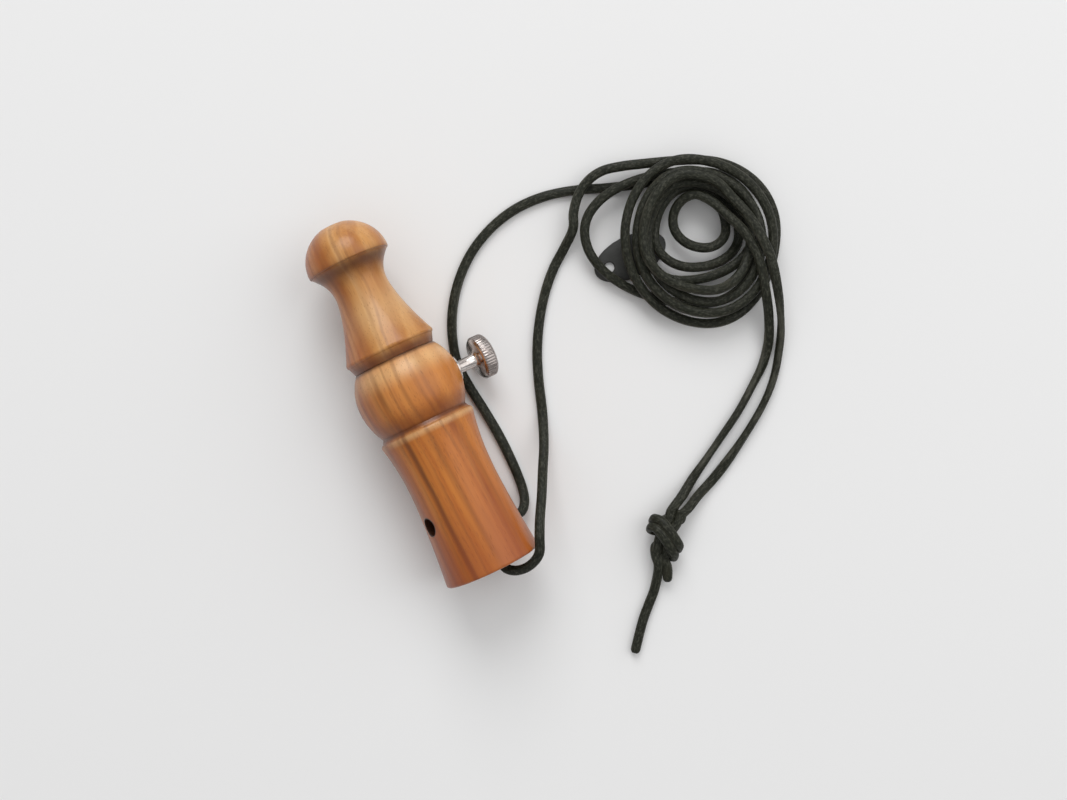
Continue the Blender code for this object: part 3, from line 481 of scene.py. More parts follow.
# Materials
def wood_material(name, pith, turn, tones, pale_wood_and_highlight_bands, heart_and_shade, accents, bands, holes=()):
    """Turned wood: growth rings about a pith beside the call, fibres along it and pores, with painted
    highlight in pale bands, painted shade on the left side and in dark bands, and painted shade round the
    holes.
    """
    made, tree = shader(name, Coat_Weight=0.45, Coat_Roughness=0.27, IOR=1.45, Specular_IOR_Level=0.3)
    deep, dark, middle, warm, pale = tones
    place = object_place(tree)
    rotate = add_node(tree, "Mapping", Vector=place, Location=Vector(pith) * MM, Rotation=(0.0, 0.0, turn))
    rotate.vector_type = "TEXTURE"
    grain = rotate.outputs[0]

    wander = noise(tree, grain, (95.0, 9.0, 95.0), 3.0, 0.55)
    flat = vector_node(tree, "MULTIPLY", grain, (1.0, 0.03, 1.0))
    from_pith = vector_node(tree, "LENGTH", flat, output=1)
    ring_place = math_node(tree, "MULTIPLY_ADD", wander, 0.0042, from_pith)
    rings = line_noise(tree, ring_place, 230.0, 3.0, 0.5)
    fibre = noise(tree, grain, (1500.0, 38.0, 1500.0), 4.0, 0.62)
    streak = noise(tree, grain, (260.0, 10.0, 260.0), 3.0, 0.5)
    cloud = noise(tree, grain, (60.0, 34.0, 60.0), 2.0, 0.5)
    pores = ranged(tree, cells(tree, grain, (2600.0, 210.0, 2600.0)), 0.28, 0.12)

    base = ramp(tree, rings, [(0.24, dark), (0.43, middle), (0.57, warm), (0.78, pale)])
    base = tint(tree, base, pale, streak, 0.5, 0.8, 0.4)
    base = tint(tree, base, dark, streak, 0.48, 0.22, 0.5)
    base = tint(tree, base, deep, fibre, 0.46, 0.74, 0.18)
    base = tint(tree, base, warm, cloud, 0.42, 0.72, 0.3)

    call_along = from_line(tree, place, AXIS, CALL_WAY)[1]

    def near(value, at, width, core, strength):
        off = math_node(tree, "ABSOLUTE", math_node(tree, "SUBTRACT", value, at * MM))
        return ranged(tree, off, width * MM, core * MM, 0.0, strength)

    def add_band(under, at, width, strength, colour):
        share = near(call_along, at, width, 0.0, strength)
        share = math_node(tree, "MULTIPLY", share, ranged(tree, streak, 0.2, 0.62, 0.75, 1.0))
        return mix(tree, share, under, colour)

    # Pale bands along the call: painted highlight, over paler wood on the ball and the neck.
    for band in pale_wood_and_highlight_bands:
        base = add_band(base, *band)

    # Darker and redder towards the pith on the call's left: a redder wood tone and painted shade on the side
    # the lamps light least.
    heart_and_shade_end, heart_and_shade_start, heart_and_shade_share, heart_and_shade_tone = heart_and_shade
    left_darkening = ranged(tree, ring_place, heart_and_shade_end * MM, heart_and_shade_start * MM, 0.0, heart_and_shade_share)
    left_darkening = math_node(tree, "MULTIPLY", left_darkening, ranged(tree, streak, 0.3, 0.7, 1.0, 0.68))
    base = mix(tree, left_darkening, base, heart_and_shade_tone)

    line_break = noise(tree, grain, (160.0, 30.0, 160.0), 2.0)
    line_break = ranged(tree, line_break, 0.34, 0.54, 0.4, 1.0)
    for radius, width, strength in accents:
        line = near(ring_place, radius, width, 0.1, strength)
        base = mix(tree, math_node(tree, "MULTIPLY", line, line_break), base, deep)
    base = mix(tree, math_node(tree, "MULTIPLY", pores, 0.35), base, deep)

    # Dark bands along the call: darker towards the bell's end, and painted shade in the grooves, on the
    # collar's lower face and under the mushroom.
    for band in bands:
        base = add_band(base, *band)
    # Painted shade on the rounded rims of the holes in the bell's side.
    for point, radius in holes:
        apart, along = from_axis(tree, place, point)
        share = ranged(tree, apart, (radius + 0.45) * MM, (radius + 0.1) * MM, 0.0, 0.93)
        share = math_node(tree, "MULTIPLY", share, ranged(tree, along, 0.004, 0.005))
        base = mix(tree, share, base, srgb(34, 19, 11))

    rough = math_node(tree, "MULTIPLY_ADD", fibre, 0.16, 0.32)
    rough = math_node(tree, "ADD", rough, math_node(tree, "MULTIPLY", pores, 0.15))
    turning = add_node(tree, "TexWave", Vector=place, Scale=420.0, Distortion=1.5)
    turning.bands_direction = "Y"
    skin = bump(tree, turning.outputs["Fac"], 0.000006, 0.6)
    skin = bump(tree, fibre, 0.00005, 0.7, skin)
    skin = bump(tree, math_node(tree, "SUBTRACT", 1.0, pores), 0.00004, 0.6, skin)
    return surface(made, base, rough, skin)


# Woods: bands by place, width, strength and colour, and lines by distance from the pith, width and strength
# Near-black brown of the painted shade in the grooves at the ball's foot and under the collar.
GROOVE_SHADE = srgb(58, 28, 12)


def body_wood():
    return wood_material(
        "body_wood", pith=(-95.0, 0.0, 14.0), turn=radians(2.8),
        tones=(srgb(94, 46, 13), srgb(142, 71, 17), srgb(174, 96, 26), srgb(190, 112, 36),
               srgb(208, 138, 60)),
        # Pale bands: painted highlight on the bell's shoulder lip, and painted highlight over paler wood on
        # the ball.
        pale_wood_and_highlight_bands=[(40.7, 1.6, 0.66, srgb(228, 184, 128)), (52.5, 10.0, 0.3, srgb(210, 150, 86)),
                    (58.0, 5.4, 0.55, srgb(228, 190, 136))],
        # Redder wood tone and painted shade on the call's left side.
        heart_and_shade=(86.5, 79.5, 0.72, srgb(130, 60, 28)),
        accents=[(77.4, 0.5, 0.34), (79.3, 0.8, 0.42), (81.6, 0.7, 0.36), (84.2, 1.1, 0.4),
                 (86.3, 1.6, 0.8), (89.8, 0.6, 0.3), (93.4, 0.8, 0.34), (96.6, 0.6, 0.26), (99.4, 0.8, 0.3)],
        # Dark bands: darker towards the bell's end, and painted shade in the groove at the ball's foot, over
        # the ball's lower part beside it and in the groove under the collar.
        bands=[(0.0, 30.0, 0.56, srgb(142, 62, 19)), (42.4, 1.1, 0.85, GROOVE_SHADE),
               (43.5, 4.8, 0.6, srgb(112, 56, 18)), (60.9, 1.3, 0.9, GROOVE_SHADE)],
        holes=[(side_hole_point, SIDE_HOLE_R), (cord_hole_point, CORD_HOLE_R)])


def mouthpiece_wood():
    return wood_material(
        "mouthpiece_wood", pith=(-70.0, 0.0, 15.5), turn=radians(1.0),
        tones=(srgb(116, 64, 26), srgb(158, 96, 42), srgb(180, 120, 58), srgb(192, 136, 74),
               srgb(206, 156, 98)),
        # Pale band: painted highlight over paler wood on the neck.
        pale_wood_and_highlight_bands=[(73.5, 10.0, 0.36, srgb(216, 178, 130))],
        # Redder wood tone and painted shade on the mouthpiece's left side.
        heart_and_shade=(66.0, 57.5, 0.85, srgb(152, 69, 23)),
        accents=[(55.2, 0.4, 0.32), (56.6, 0.7, 0.42), (58.4, 0.6, 0.36), (60.2, 0.6, 0.25),
                 (62.0, 1.0, 0.45), (67.2, 0.9, 0.4), (69.4, 0.6, 0.34)],
        # Dark bands: painted shade with some dirt on the collar's lower face, and painted shade under the
        # mushroom's rim.
        bands=[(61.4, 3.0, 0.92, srgb(96, 46, 12)), (86.4, 4.6, 0.66, srgb(108, 55, 16)),
               (87.3, 2.4, 0.6, srgb(66, 29, 3))])


def lace_material(name):
    """Waxed leather lace: dark olive skin, paler edges from wear and a painted highlight, cross wrinkles and
    fine pores.
    """
    made, tree = shader(name, IOR=1.5, Specular_IOR_Level=0.2)
    lace_place = add_node(tree, "Attribute")
    lace_place.attribute_name = "lace_place"
    place = lace_place.outputs["Vector"]
    across = math_node(tree, "ABSOLUTE", split(tree, place)["X"])
    grain = noise(tree, place, (2.6, 2.6, 1.1), 4.0, 0.6)
    hairs = noise(tree, place, (5.0, 5.0, 0.32), 3.0, 0.6)
    wear_and_highlight = noise(tree, place, (0.4, 0.4, 0.11), 3.0, 0.55)
    wrinkle = noise(tree, place, (0.5, 0.5, 1.7), 2.0, 0.5, 0.6)
    base = ramp(tree, grain, [(0.3, srgb(13, 15, 7)), (0.5, srgb(32, 34, 24)), (0.7, srgb(70, 70, 61))])
    base = tint(tree, base, srgb(16, 17, 9), hairs, 0.5, 0.75, 0.5)
    # Paler edges across the lace: wear, and a painted highlight.
    edge = ranged(tree, across, 0.75, 1.35)
    edge = math_node(tree, "MULTIPLY", edge, ranged(tree, wear_and_highlight, 0.4, 0.68))
    base = mix(tree, math_node(tree, "MULTIPLY", edge, 0.6), base, srgb(88, 87, 78))
    base = tint(tree, base, srgb(54, 52, 39), wear_and_highlight, 0.58, 0.78, 0.4)
    skin = bump(tree, wrinkle, 0.00012, 0.55)
    skin = bump(tree, grain, 0.00007, 0.7, skin)
    skin = bump(tree, hairs, 0.00005, 0.5, skin)
    return surface(made, base, ranged(tree, wear_and_highlight, 0.3, 0.7, 0.42, 0.6), skin)


def nickel_material(name):
    """Polished nickel plate with turning lines about the screw's axis, small scratches and dull patches."""
    made, tree = shader(name, Metallic=1.0)
    place = object_place(tree)
    patch = noise(tree, place, 420.0, 3.0)
    scratch = noise(tree, place, (900.0, 5200.0, 700.0), 3.0, 0.6)
    radial = from_axis(tree, place, screw_point)[0]
    base = tint(tree, srgb(214, 207, 203), srgb(186, 176, 171), patch, 0.35, 0.7)
    base = tint(tree, base, srgb(150, 140, 134), scratch, 0.6, 0.8, 0.5)
    # Darker knurled rim of the head: painted dark reflection.
    base = tint(tree, base, srgb(118, 108, 104), radial, 0.0055, 0.00585, 0.62)
    rings = math_node(tree, "SINE", math_node(tree, "MULTIPLY", radial, 38000.0))
    skin = bump(tree, rings, 0.000004, 0.5)
    skin = bump(tree, scratch, 0.000012, 0.5, skin)
    return surface(made, base, ranged(tree, patch, 0.3, 0.75, 0.14, 0.3), skin)


def brass_material(name, bright, dull):
    made, tree = shader(name, Metallic=1.0)
    place = object_place(tree)
    patch = noise(tree, place, 330.0, 4.0, 0.6)
    scratch = noise(tree, place, (3000.0, 260.0, 3000.0), 3.0, 0.6)
    base = tint(tree, bright, dull, patch, 0.38, 0.7)
    base = tint(tree, base, dull, scratch, 0.55, 0.8, 0.4)
    rough = ranged(tree, patch, 0.3, 0.75, 0.22, 0.42)
    return surface(made, base, rough, bump(tree, scratch, 0.00001, 0.6))


def plain_wood_material(name, pale, dark):
    made, tree = shader(name)
    place = object_place(tree)
    fibre = noise(tree, place, (1300.0, 60.0, 1300.0), 4.0, 0.6)
    band = noise(tree, place, (300.0, 14.0, 300.0), 2.0, 0.5)
    base = tint(tree, pale, dark, band, 0.3, 0.7)
    base = tint(tree, base, dark, fibre, 0.45, 0.75, 0.5)
    rough = ranged(tree, fibre, 0.3, 0.7, 0.55, 0.75)
    return surface(made, base, rough, bump(tree, fibre, 0.00006, 0.8))


def cork_material(name):
    made, tree = shader(name)
    place = object_place(tree)
    patch = noise(tree, place, 1500.0, 3.0)
    pit = ranged(tree, patch, 0.6, 0.75)
    base = ramp(tree, cells(tree, place, 900.0), [(0.0, srgb(176, 128, 84)), (0.55, srgb(190, 146, 102)),
                                                  (1.0, srgb(120, 78, 46))])
    base = mix(tree, pit, base, srgb(84, 52, 30))
    skin = bump(tree, math_node(tree, "SUBTRACT", 1.0, pit), 0.00012, 0.8)
    return surface(made, base, ranged(tree, patch, 0.3, 0.7, 0.8, 0.95), skin)


def plastic_material(name, colour, scuffed, rough_low, rough_high, grain_depth):
    made, tree = shader(name)
    place = object_place(tree)
    cloud = noise(tree, place, 160.0, 3.0)
    scuff = noise(tree, place, (420.0, 1900.0, 900.0), 3.0, 0.6)
    grain = noise(tree, place, 2400.0, 2.0)
    base = tint(tree, colour, scuffed, cloud, 0.35, 0.75, 0.5)
    base = tint(tree, base, scuffed, scuff, 0.62, 0.8, 0.6)
    rough = ranged(tree, scuff, 0.3, 0.75, rough_low, rough_high)
    return surface(made, base, rough, bump(tree, grain, grain_depth, 0.6))


# Mesh helpers
def add_object(name, mesh, skin=None):
    made = bpy.data.objects.new(name, mesh)
    bpy.context.scene.collection.objects.link(made)
    if skin:
        mesh.materials.append(skin)
    return made


def mesh_from(name, points, faces):
    """A mesh of points in millimetres, with its faces turned outwards."""
    shape = bmesh.new()
    corners = [shape.verts.new(Vector(point) * MM) for point in points]
    for face in faces:
        shape.faces.new([corners[index] for index in face])
    bmesh.ops.recalc_face_normals(shape, faces=shape.faces)
    mesh = bpy.data.meshes.new(name)
    shape.to_mesh(mesh)
    shape.free()
    return mesh


def ring_faces(first, second, count):
    """Faces between two rings of points, each ring given by its first point."""
    faces = []
    for step in range(count):
        after = (step + 1) % count
        faces.append((first + step, first + after, second + after, second + step))
    return faces


def shade(mesh, angle=32.0):
    """Smooth shading, with sharp edges where faces meet at more than the angle."""
    shape = bmesh.new()
    shape.from_mesh(mesh)
    for face in shape.faces:
        face.smooth = True
    for edge in shape.edges:
        edge.smooth = len(edge.link_faces) == 2 and edge.calc_face_angle(0.0) < radians(angle)
    shape.to_mesh(mesh)
    shape.free()


def turned(name, outline, segments, place, radius_at=None):
    """Revolve a closed outline of (a, r). Place turns (across, along, up) into a point of the frame."""
    points = []
    rings = []
    for number, (along, radius) in enumerate(outline):
        if radius < 1e-6:
            points.append(place(0.0, along, 0.0))
            rings.append([len(points) - 1] * segments)
            continue
        ring = []
        for segment in range(segments):
            angle = tau * segment / segments
            reach = radius_at(number, angle, radius) if radius_at else radius
            points.append(place(reach * cos(angle), along, reach * sin(angle)))
            ring.append(len(points) - 1)
        rings.append(ring)
    faces = []
    pairs = len(rings) - 1 if outline[0][1] < 1e-6 else len(rings)
    for number in range(pairs):
        low = rings[number]
        high = rings[(number + 1) % len(rings)]
        for segment in range(segments):
            after = (segment + 1) % segments
            corners = [low[segment], low[after], high[after], high[segment]]
            faces.append(list(dict.fromkeys(corners)))
    return mesh_from(name, points, faces)


def cut(piece, cutters):
    """Cut the cutters out of the piece for good."""
    for cutter in cutters:
        modifier = piece.modifiers.new(cutter.name, "BOOLEAN")
        modifier.operation = "DIFFERENCE"
        modifier.solver = "EXACT"
        modifier.object = cutter
    bpy.context.view_layer.update()
    view = bpy.context.evaluated_depsgraph_get()
    mesh = bpy.data.meshes.new_from_object(piece.evaluated_get(view))
    piece.modifiers.clear()
    piece.data = mesh
    for cutter in cutters:
        bpy.data.objects.remove(cutter)


def power_curve(start, end, power, steps):
    """Points (a, r) of a curve that leaves start along the axis, without its end."""
    points = []
    for step in range(steps):
        part = step / steps
        points.append((lerp(start[0], end[0], part), lerp(start[1], end[1], part ** power)))
    return points


def crown_arc(crown, end, steps):
    """Points (a, r) of a circular arc from its crown to an end."""
    reach = end[0] - crown[0]
    drop = crown[1] - end[1]
    radius = (reach * reach + drop * drop) / (2.0 * drop)
    points = []
    for step in range(steps + 1):
        along = reach * step / steps
        points.append((crown[0] + along, crown[1] - radius + sqrt(radius * radius - along * along)))
    return points


def arc(centre, radius_a, radius_r, start, end, steps):
    """Points (a, r) of an elliptic arc between two angles, both included."""
    points = []
    for step in range(steps + 1):
        angle = lerp(start, end, step / steps)
        points.append((centre[0] + radius_a * cos(angle), centre[1] + radius_r * sin(angle)))
    return points


# Turned wood
def body_outline():
    """From the bell's rim over the ball, and back through the socket, the chamber and the bell's bore."""
    waist = (WAIST_AT, WAIST_R)
    crown = (EQUATOR_AT, BALL_R)
    rim = arc((RIM_EDGE, RIM_R - RIM_EDGE), RIM_EDGE, RIM_EDGE, pi, pi / 2, 8)
    flare = power_curve(waist, (RIM_EDGE, RIM_R), BELL_POWER, 34)[::-1]
    rise = power_curve(waist, (SHOULDER_AT, SHOULDER_R), SHOULDER_POWER, 26)[1:]
    shoulder = arc((SHOULDER_AT, SHOULDER_R - SHOULDER_EDGE), SHOULDER_EDGE, SHOULDER_EDGE,
                   pi / 2, SHOULDER_ROLL_END, 9)
    low_ball = crown_arc(crown, (BALL_FOOT_AT, BALL_FOOT_R), 20)[::-1]
    high_ball = crown_arc(crown, (BALL_TOP_AT, BALL_TOP_R), 20)[1:]
    body_end = BALL_TOP_AT + BODY_EDGE
    chamber_end = BALL_TOP_AT - SOCKET_DEPTH
    throat_end = BELL_DEPTH + THROAT_LENGTH
    socket = [(body_end, BALL_TOP_R - BODY_EDGE), (body_end, SOCKET_R + SOCKET_EDGE),
              (BALL_TOP_AT - 0.1, SOCKET_R + 0.05), (chamber_end, SOCKET_R), (chamber_end, CHAMBER_R),
              (throat_end, CHAMBER_R), (throat_end, THROAT_R), (BELL_DEPTH + GAP, THROAT_R),
              (BELL_DEPTH, THROAT_R + THROAT_EDGE)]
    bell = power_curve((BELL_DEPTH, BELL_THROAT_R), (LIP_EDGE, BELL_MOUTH_R), FLARE_POWER, 26)
    lip = arc((LIP_EDGE, BELL_MOUTH_R + LIP_EDGE), LIP_EDGE, -LIP_EDGE, pi / 2, pi, 6)
    return rim + flare + rise + shoulder + low_ball + high_ball + socket + bell + lip


def hole_outline(inner, radius, edge_at, edge_depth, edge_width):
    """A drill from inside the bell outwards, with a rounded edge where it leaves the wood."""
    outer = RIM_R + DRILL_PAST
    edge = arc((edge_at, radius + edge_width), edge_depth, -edge_width, pi / 2, 0.0, 6)
    return [(inner, 0.0), (inner, radius)] + edge + [(outer, radius + edge_width), (outer, 0.0)]


def make_body(skin):
    piece = add_object("call_body", turned("call_body", body_outline(), 168, call_point))
    drill_in = INSERT_INNER - DRILL_PAST
    flange_in = BALL_R - FLANGE_SINK - GAP
    insert_hole = [(drill_in, 0.0), (drill_in, INSERT_R + GAP), (flange_in, INSERT_R + GAP),
                   (flange_in, FLANGE_R + GAP), (HEAD_INNER, FLANGE_R + GAP), (HEAD_INNER, 0.0)]
    cord_hole = hole_outline(BELL_THROAT_R, CORD_HOLE_R, 12.35, 0.55, 0.55)
    side_hole = hole_outline(THROAT_R, SIDE_HOLE_R, 11.6, 0.5, 0.45)
    cut(piece, [add_object("insert_drill", turned("insert_drill", insert_hole, 64, screw_point)),
                add_object("lace_drill", turned("lace_drill", cord_hole, 48, cord_hole_point)),
                add_object("side_drill", turned("side_drill", side_hole, 48, side_hole_point))])
    shade(piece.data)
    piece.data.materials.clear()
    piece.data.materials.append(skin)
    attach(piece, "call")
    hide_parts("body")


def mouthpiece_outline():
    """From the collar over the neck and the mushroom, and back through the bore and round the tenon."""
    neck_waist = (NECK_AT, NECK_R)
    roll = MUSHROOM_EDGE / 2
    blow_edge_r = BLOW_R + BLOW_EDGE
    collar = arc((COLLAR_AT, COLLAR_R - COLLAR_EDGE), COLLAR_EDGE, COLLAR_EDGE,
                 COLLAR_ROLL_START, COLLAR_ROLL_END, 10)
    neck = power_curve(neck_waist, collar[-1], COLLAR_POWER, 30)[::-1]
    under_end = (MUSHROOM_AT - MUSHROOM_EDGE, MUSHROOM_R - MUSHROOM_LIP_DROP)
    under = power_curve(neck_waist, under_end, NECK_POWER, 20)[1:]
    edge = arc((MUSHROOM_AT - roll, MUSHROOM_R - roll), 1.2 * roll, roll,
               MUSHROOM_ROLL_START, MUSHROOM_ROLL_END, 6)
    dome = arc((MUSHROOM_AT, 0.0), CALL_LENGTH - MUSHROOM_AT, MUSHROOM_R,
               pi / 2, asin(blow_edge_r / MUSHROOM_R), 30)[1:]
    lip = arc((dome[-1][0] - BLOW_EDGE, blow_edge_r), BLOW_EDGE, -BLOW_EDGE, 0.0, pi / 2, 8)[1:]
    foot_at = BALL_TOP_AT + FOOT_RISE
    tenon_end = BALL_TOP_AT - SOCKET_DEPTH + GAP
    groove_start = tenon_end + GROOVE_LAND
    groove_end = BALL_TOP_AT - GROOVE_LAND
    groove_r = TENON_R - GROOVE_DEPTH
    bore = [(BLOW_START_AT, BLOW_R), (TENON_BORE_END_AT, TENON_BORE_R), (tenon_end, TENON_BORE_R)]
    tenon = [(tenon_end, TENON_R - TENON_EDGE), (tenon_end + TENON_EDGE, TENON_R), (groove_start, TENON_R),
             (groove_start, groove_r), (groove_end, groove_r), (groove_end, TENON_R), (foot_at, TENON_R)]
    return [(foot_at, COLLAR_FOOT_R)] + collar + neck[1:] + under + edge + dome + lip + bore + tenon


def make_mouthpiece(skin):
    mesh = turned("call_mouthpiece", mouthpiece_outline(), 168, call_point)
    shade(mesh)
    piece = add_object("call_mouthpiece", mesh, skin)
    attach(piece, "mouthpiece")
    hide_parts("mouthpiece")


# Tuning screw
def make_thumbscrew(skin):
    """Head with a fine straight knurl, a plain shank and a threaded inner part."""
    outline = [(STEM_HOLE_END, 0.0), (STEM_HOLE_END, STEM_HOLE_R), (SCREW_INNER, STEM_HOLE_R),
               (SCREW_INNER, SCREW_R - SCREW_EDGE), (SCREW_INNER + SCREW_EDGE, SCREW_R)]
    ring_step = THREAD_PITCH / THREAD_STEPS
    thread_first = len(outline)
    outline += [(THREAD_START + ring_step * number, SCREW_R)
                for number in range(ceil((THREAD_END - THREAD_START) / ring_step))]
    thread_last = len(outline) - 1
    outline += [(14.3, SCREW_R), (14.6, SHANK_R), (19.5, SHANK_R), (19.9, 1.92), (20.3, 2.35)]
    outline += [(HEAD_INNER, 3.0), (HEAD_INNER, 5.05), (20.6, 5.35), (20.95, 5.75)]
    knurl_first = len(outline)
    outline += [(21.1, 5.92), (21.25, 5.97), (23.75, 5.97), (23.9, 5.92)]
    knurl_last = len(outline) - 1
    outline += [(24.05, 5.75), (24.4, 5.35), (HEAD_OUTER, 5.0), (HEAD_OUTER, 3.6)]
    outline += [(HEAD_OUTER - HEAD_DISH, 3.45), (HEAD_OUTER - HEAD_DISH, 0.0)]

    def radius_at(number, angle, radius):
        if thread_first <= number <= thread_last:
            turn = (outline[number][0] / THREAD_PITCH - angle / tau) % 1.0
            fade = min(1.0, (number - thread_first) / THREAD_FADE, (thread_last - number) / THREAD_FADE)
            return radius - THREAD_DEPTH * (1.0 - smooth(abs(2.0 * turn - 1.0))) * fade
        if knurl_first <= number <= knurl_last:
            turn = (angle * KNURL_FLUTES / tau) % 1.0
            return radius - KNURL_DEPTH * smooth(abs(2.0 * turn - 1.0))
        return radius

    mesh = turned("tuning_screw", outline, KNURL_FLUTES * 6, screw_point, radius_at)
    shade(mesh, 38.0)
    piece = add_object("tuning_screw", mesh, skin)
    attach(piece, "thumbscrew")
    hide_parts("thumbscrew")


def make_insert(skin):
    """Flanged bush that the screw runs in, with broken edges."""
    bore = SCREW_R + GAP
    flange_in = BALL_R - FLANGE_SINK
    flange_out = flange_in + FLANGE_THICKNESS
    outline = [(INSERT_INNER, bore + 0.1), (INSERT_INNER, INSERT_R - 0.1), (INSERT_INNER + 0.1, INSERT_R),
               (flange_in, INSERT_R), (flange_in, FLANGE_R - 0.1), (flange_in + 0.1, FLANGE_R),
               (flange_out - 0.3, FLANGE_R), (flange_out - 0.1, FLANGE_R - 0.08),
               (flange_out, FLANGE_R - 0.3), (flange_out, bore + 0.25), (flange_out - 0.1, bore + 0.1),
               (flange_out - 0.3, bore), (INSERT_INNER + 0.2, bore)]
    mesh = turned("screw_bush", outline, 96, screw_point)
    shade(mesh)
    piece = add_object("screw_bush", mesh, skin)
    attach(piece, "call")
    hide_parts("screw_insert")


# Lace
def coil_turns(marks):
    """Quarter ellipses through the coil's extremes, which are a top, a right, a bottom and a left in turn."""
    points = []
    upright = False
    for here, there in zip(marks, marks[1:]):
        for step in range(QUARTER_STEPS):
            part = step / QUARTER_STEPS
            fast, slow = sin(part * pi / 2), 1.0 - cos(part * pi / 2)
            across = lerp(here[0], there[0], slow if upright else fast)
            up = lerp(here[1], there[1], fast if upright else slow)
            points.append(coil_point(across, up, lerp(here[2], there[2], smooth(part))))
        upright = not upright
    points.append(coil_point(*marks[-1]))
    return points


def bell_stretch():
    """From the bell's mouth round the bend and out through the hole in the bell's side."""
    bend_end = CORD_HOLE_AT - CORD_BEND_R
    points = [(CORD_MOUTH_OFFSET, CORD_MEET_AT), (CORD_MOUTH_OFFSET, lerp(CORD_MEET_AT, bend_end, 0.5))]
    bend = arc((bend_end, 0.0), CORD_BEND_R, CORD_BEND_R, pi / 2, 0.0, 5)
    points += [(CORD_MOUTH_OFFSET + CORD_BEND_R - across, along) for along, across in bend]
    points += [(CORD_JOIN_R, CORD_HOLE_AT), (CORD_OUT_R, CORD_HOLE_AT)]
    return [lace_side(out, along) for out, along in points]


def lace_routes():
    """Routes of both laces to the knot, one from the hole in the bell's side and one from its mouth."""
    ends = []
    for offset in (-STRAND_OFFSET, STRAND_OFFSET):
        ends.append([knot_point(-KNOT_LEAD, offset), knot_point(-GAP, offset),
                     knot_point(KNOT_INSIDE[0], offset, KNOT_INSIDE[1])])
    route_a = bell_stretch() + [Vector(point) for point in LEG_KNOB]
    route_a += coil_turns(COIL_A) + [coil_point(*mark) for mark in COIL_A_EXIT]
    route_a += [Vector(point) for point in RUN_A] + ends[0]
    route_b = [lace_side(CORD_MOUTH_OFFSET, CORD_MEET_AT)] + [Vector(point) for point in LEG_RIM]
    route_b += [coil_point(*mark) for mark in COIL_B_ENTRY] + coil_turns(COIL_B)
    route_b += [coil_point(*mark) for mark in COIL_B_EXIT]
    route_b += [Vector(point) for point in RUN_B] + ends[1]
    return route_a, route_b


def smooth_curve(route, step_length=0.25):
    """Points of a smooth curve through the route, about the step apart."""
    points = [route[0] * 2.0 - route[1]] + list(route) + [route[-1] * 2.0 - route[-2]]
    dense = []
    for number in range(1, len(points) - 2):
        before, start, end, after = points[number - 1:number + 3]
        knots = [0.0]
        for one, two in ((before, start), (start, end), (end, after)):
            knots.append(knots[-1] + sqrt((two - one).length))
        span = knots[2] - knots[1]
        slope_start = ((start - before) / knots[1] - (end - before) / knots[2] + (end - start) / span) * span
        slope_end = ((end - start) / span - (after - start) / (knots[3] - knots[1])
                     + (after - end) / (knots[3] - knots[2])) * span
        steps = max(2, round((end - start).length / step_length))
        for step in range(steps):
            t = step / steps
            dense.append(start * (2 * t ** 3 - 3 * t ** 2 + 1) + slope_start * (t ** 3 - 2 * t ** 2 + t)
                         + end * (3 * t ** 2 - 2 * t ** 3) + slope_end * (t ** 3 - t ** 2))
    dense.append(route[-1])
    return dense


def even_points(dense, step_length):
    """Evenly spaced points of a dense curve, and its length."""
    lengths = [0.0]
    for number in range(1, len(dense)):
        lengths.append(lengths[-1] + (dense[number] - dense[number - 1]).length)
    count = max(2, round(lengths[-1] / step_length))
    points = []
    number = 0
    for index in range(count + 1):
        wanted = lengths[-1] * index / count
        while number < len(dense) - 2 and lengths[number + 1] < wanted:
            number += 1
        part = (wanted - lengths[number]) / (lengths[number + 1] - lengths[number])
        points.append(dense[number].lerp(dense[number + 1], part))
    return points, lengths[-1]


def wave(length, seed):
    """A slow wander between -1 and 1 along the lace."""
    total = 0.0
    for period, turn, weight in ((11.3, 1.0, 1.0), (5.9, 2.3, 0.6), (23.7, -1.0, 0.9)):
        total += sin(length / period + turn * seed) * weight
    return total / 2.5


def lace_section(side, heading, twist, flat, size):
    """Offsets of a rounded flat section from the lace's centre, with the flat turned by the twist."""
    normal = side.cross(heading).normalized()
    wide_way = side * cos(twist) + normal * sin(twist)
    thick_way = normal * cos(twist) - side * sin(twist)
    half_wide, half_thick = [lerp(low, high, flat) * size for low, high in zip(LACE_ROUND, LACE_FLAT)]
    section = []
    for step in range(LACE_SIDES):
        angle = tau * step / LACE_SIDES
        wide = copysign(abs(cos(angle)) ** SECTION_POWER, cos(angle)) * half_wide
        thick = copysign(abs(sin(angle)) ** SECTION_POWER, sin(angle)) * half_thick
        section.append(wide_way * wide + thick_way * thick)
    return section


def settled(point, section):
    """The lace's centre, let down near the floor until its section lies on it."""
    if point.z >= SETTLE_FROM:
        return point
    lift = -min(offset.z for offset in section)
    share = min(1.0, (SETTLE_FROM - point.z) / (SETTLE_FROM - SETTLED_AT))
    return point - UP * (min(point.z - lift, SETTLE_MOST) * share)


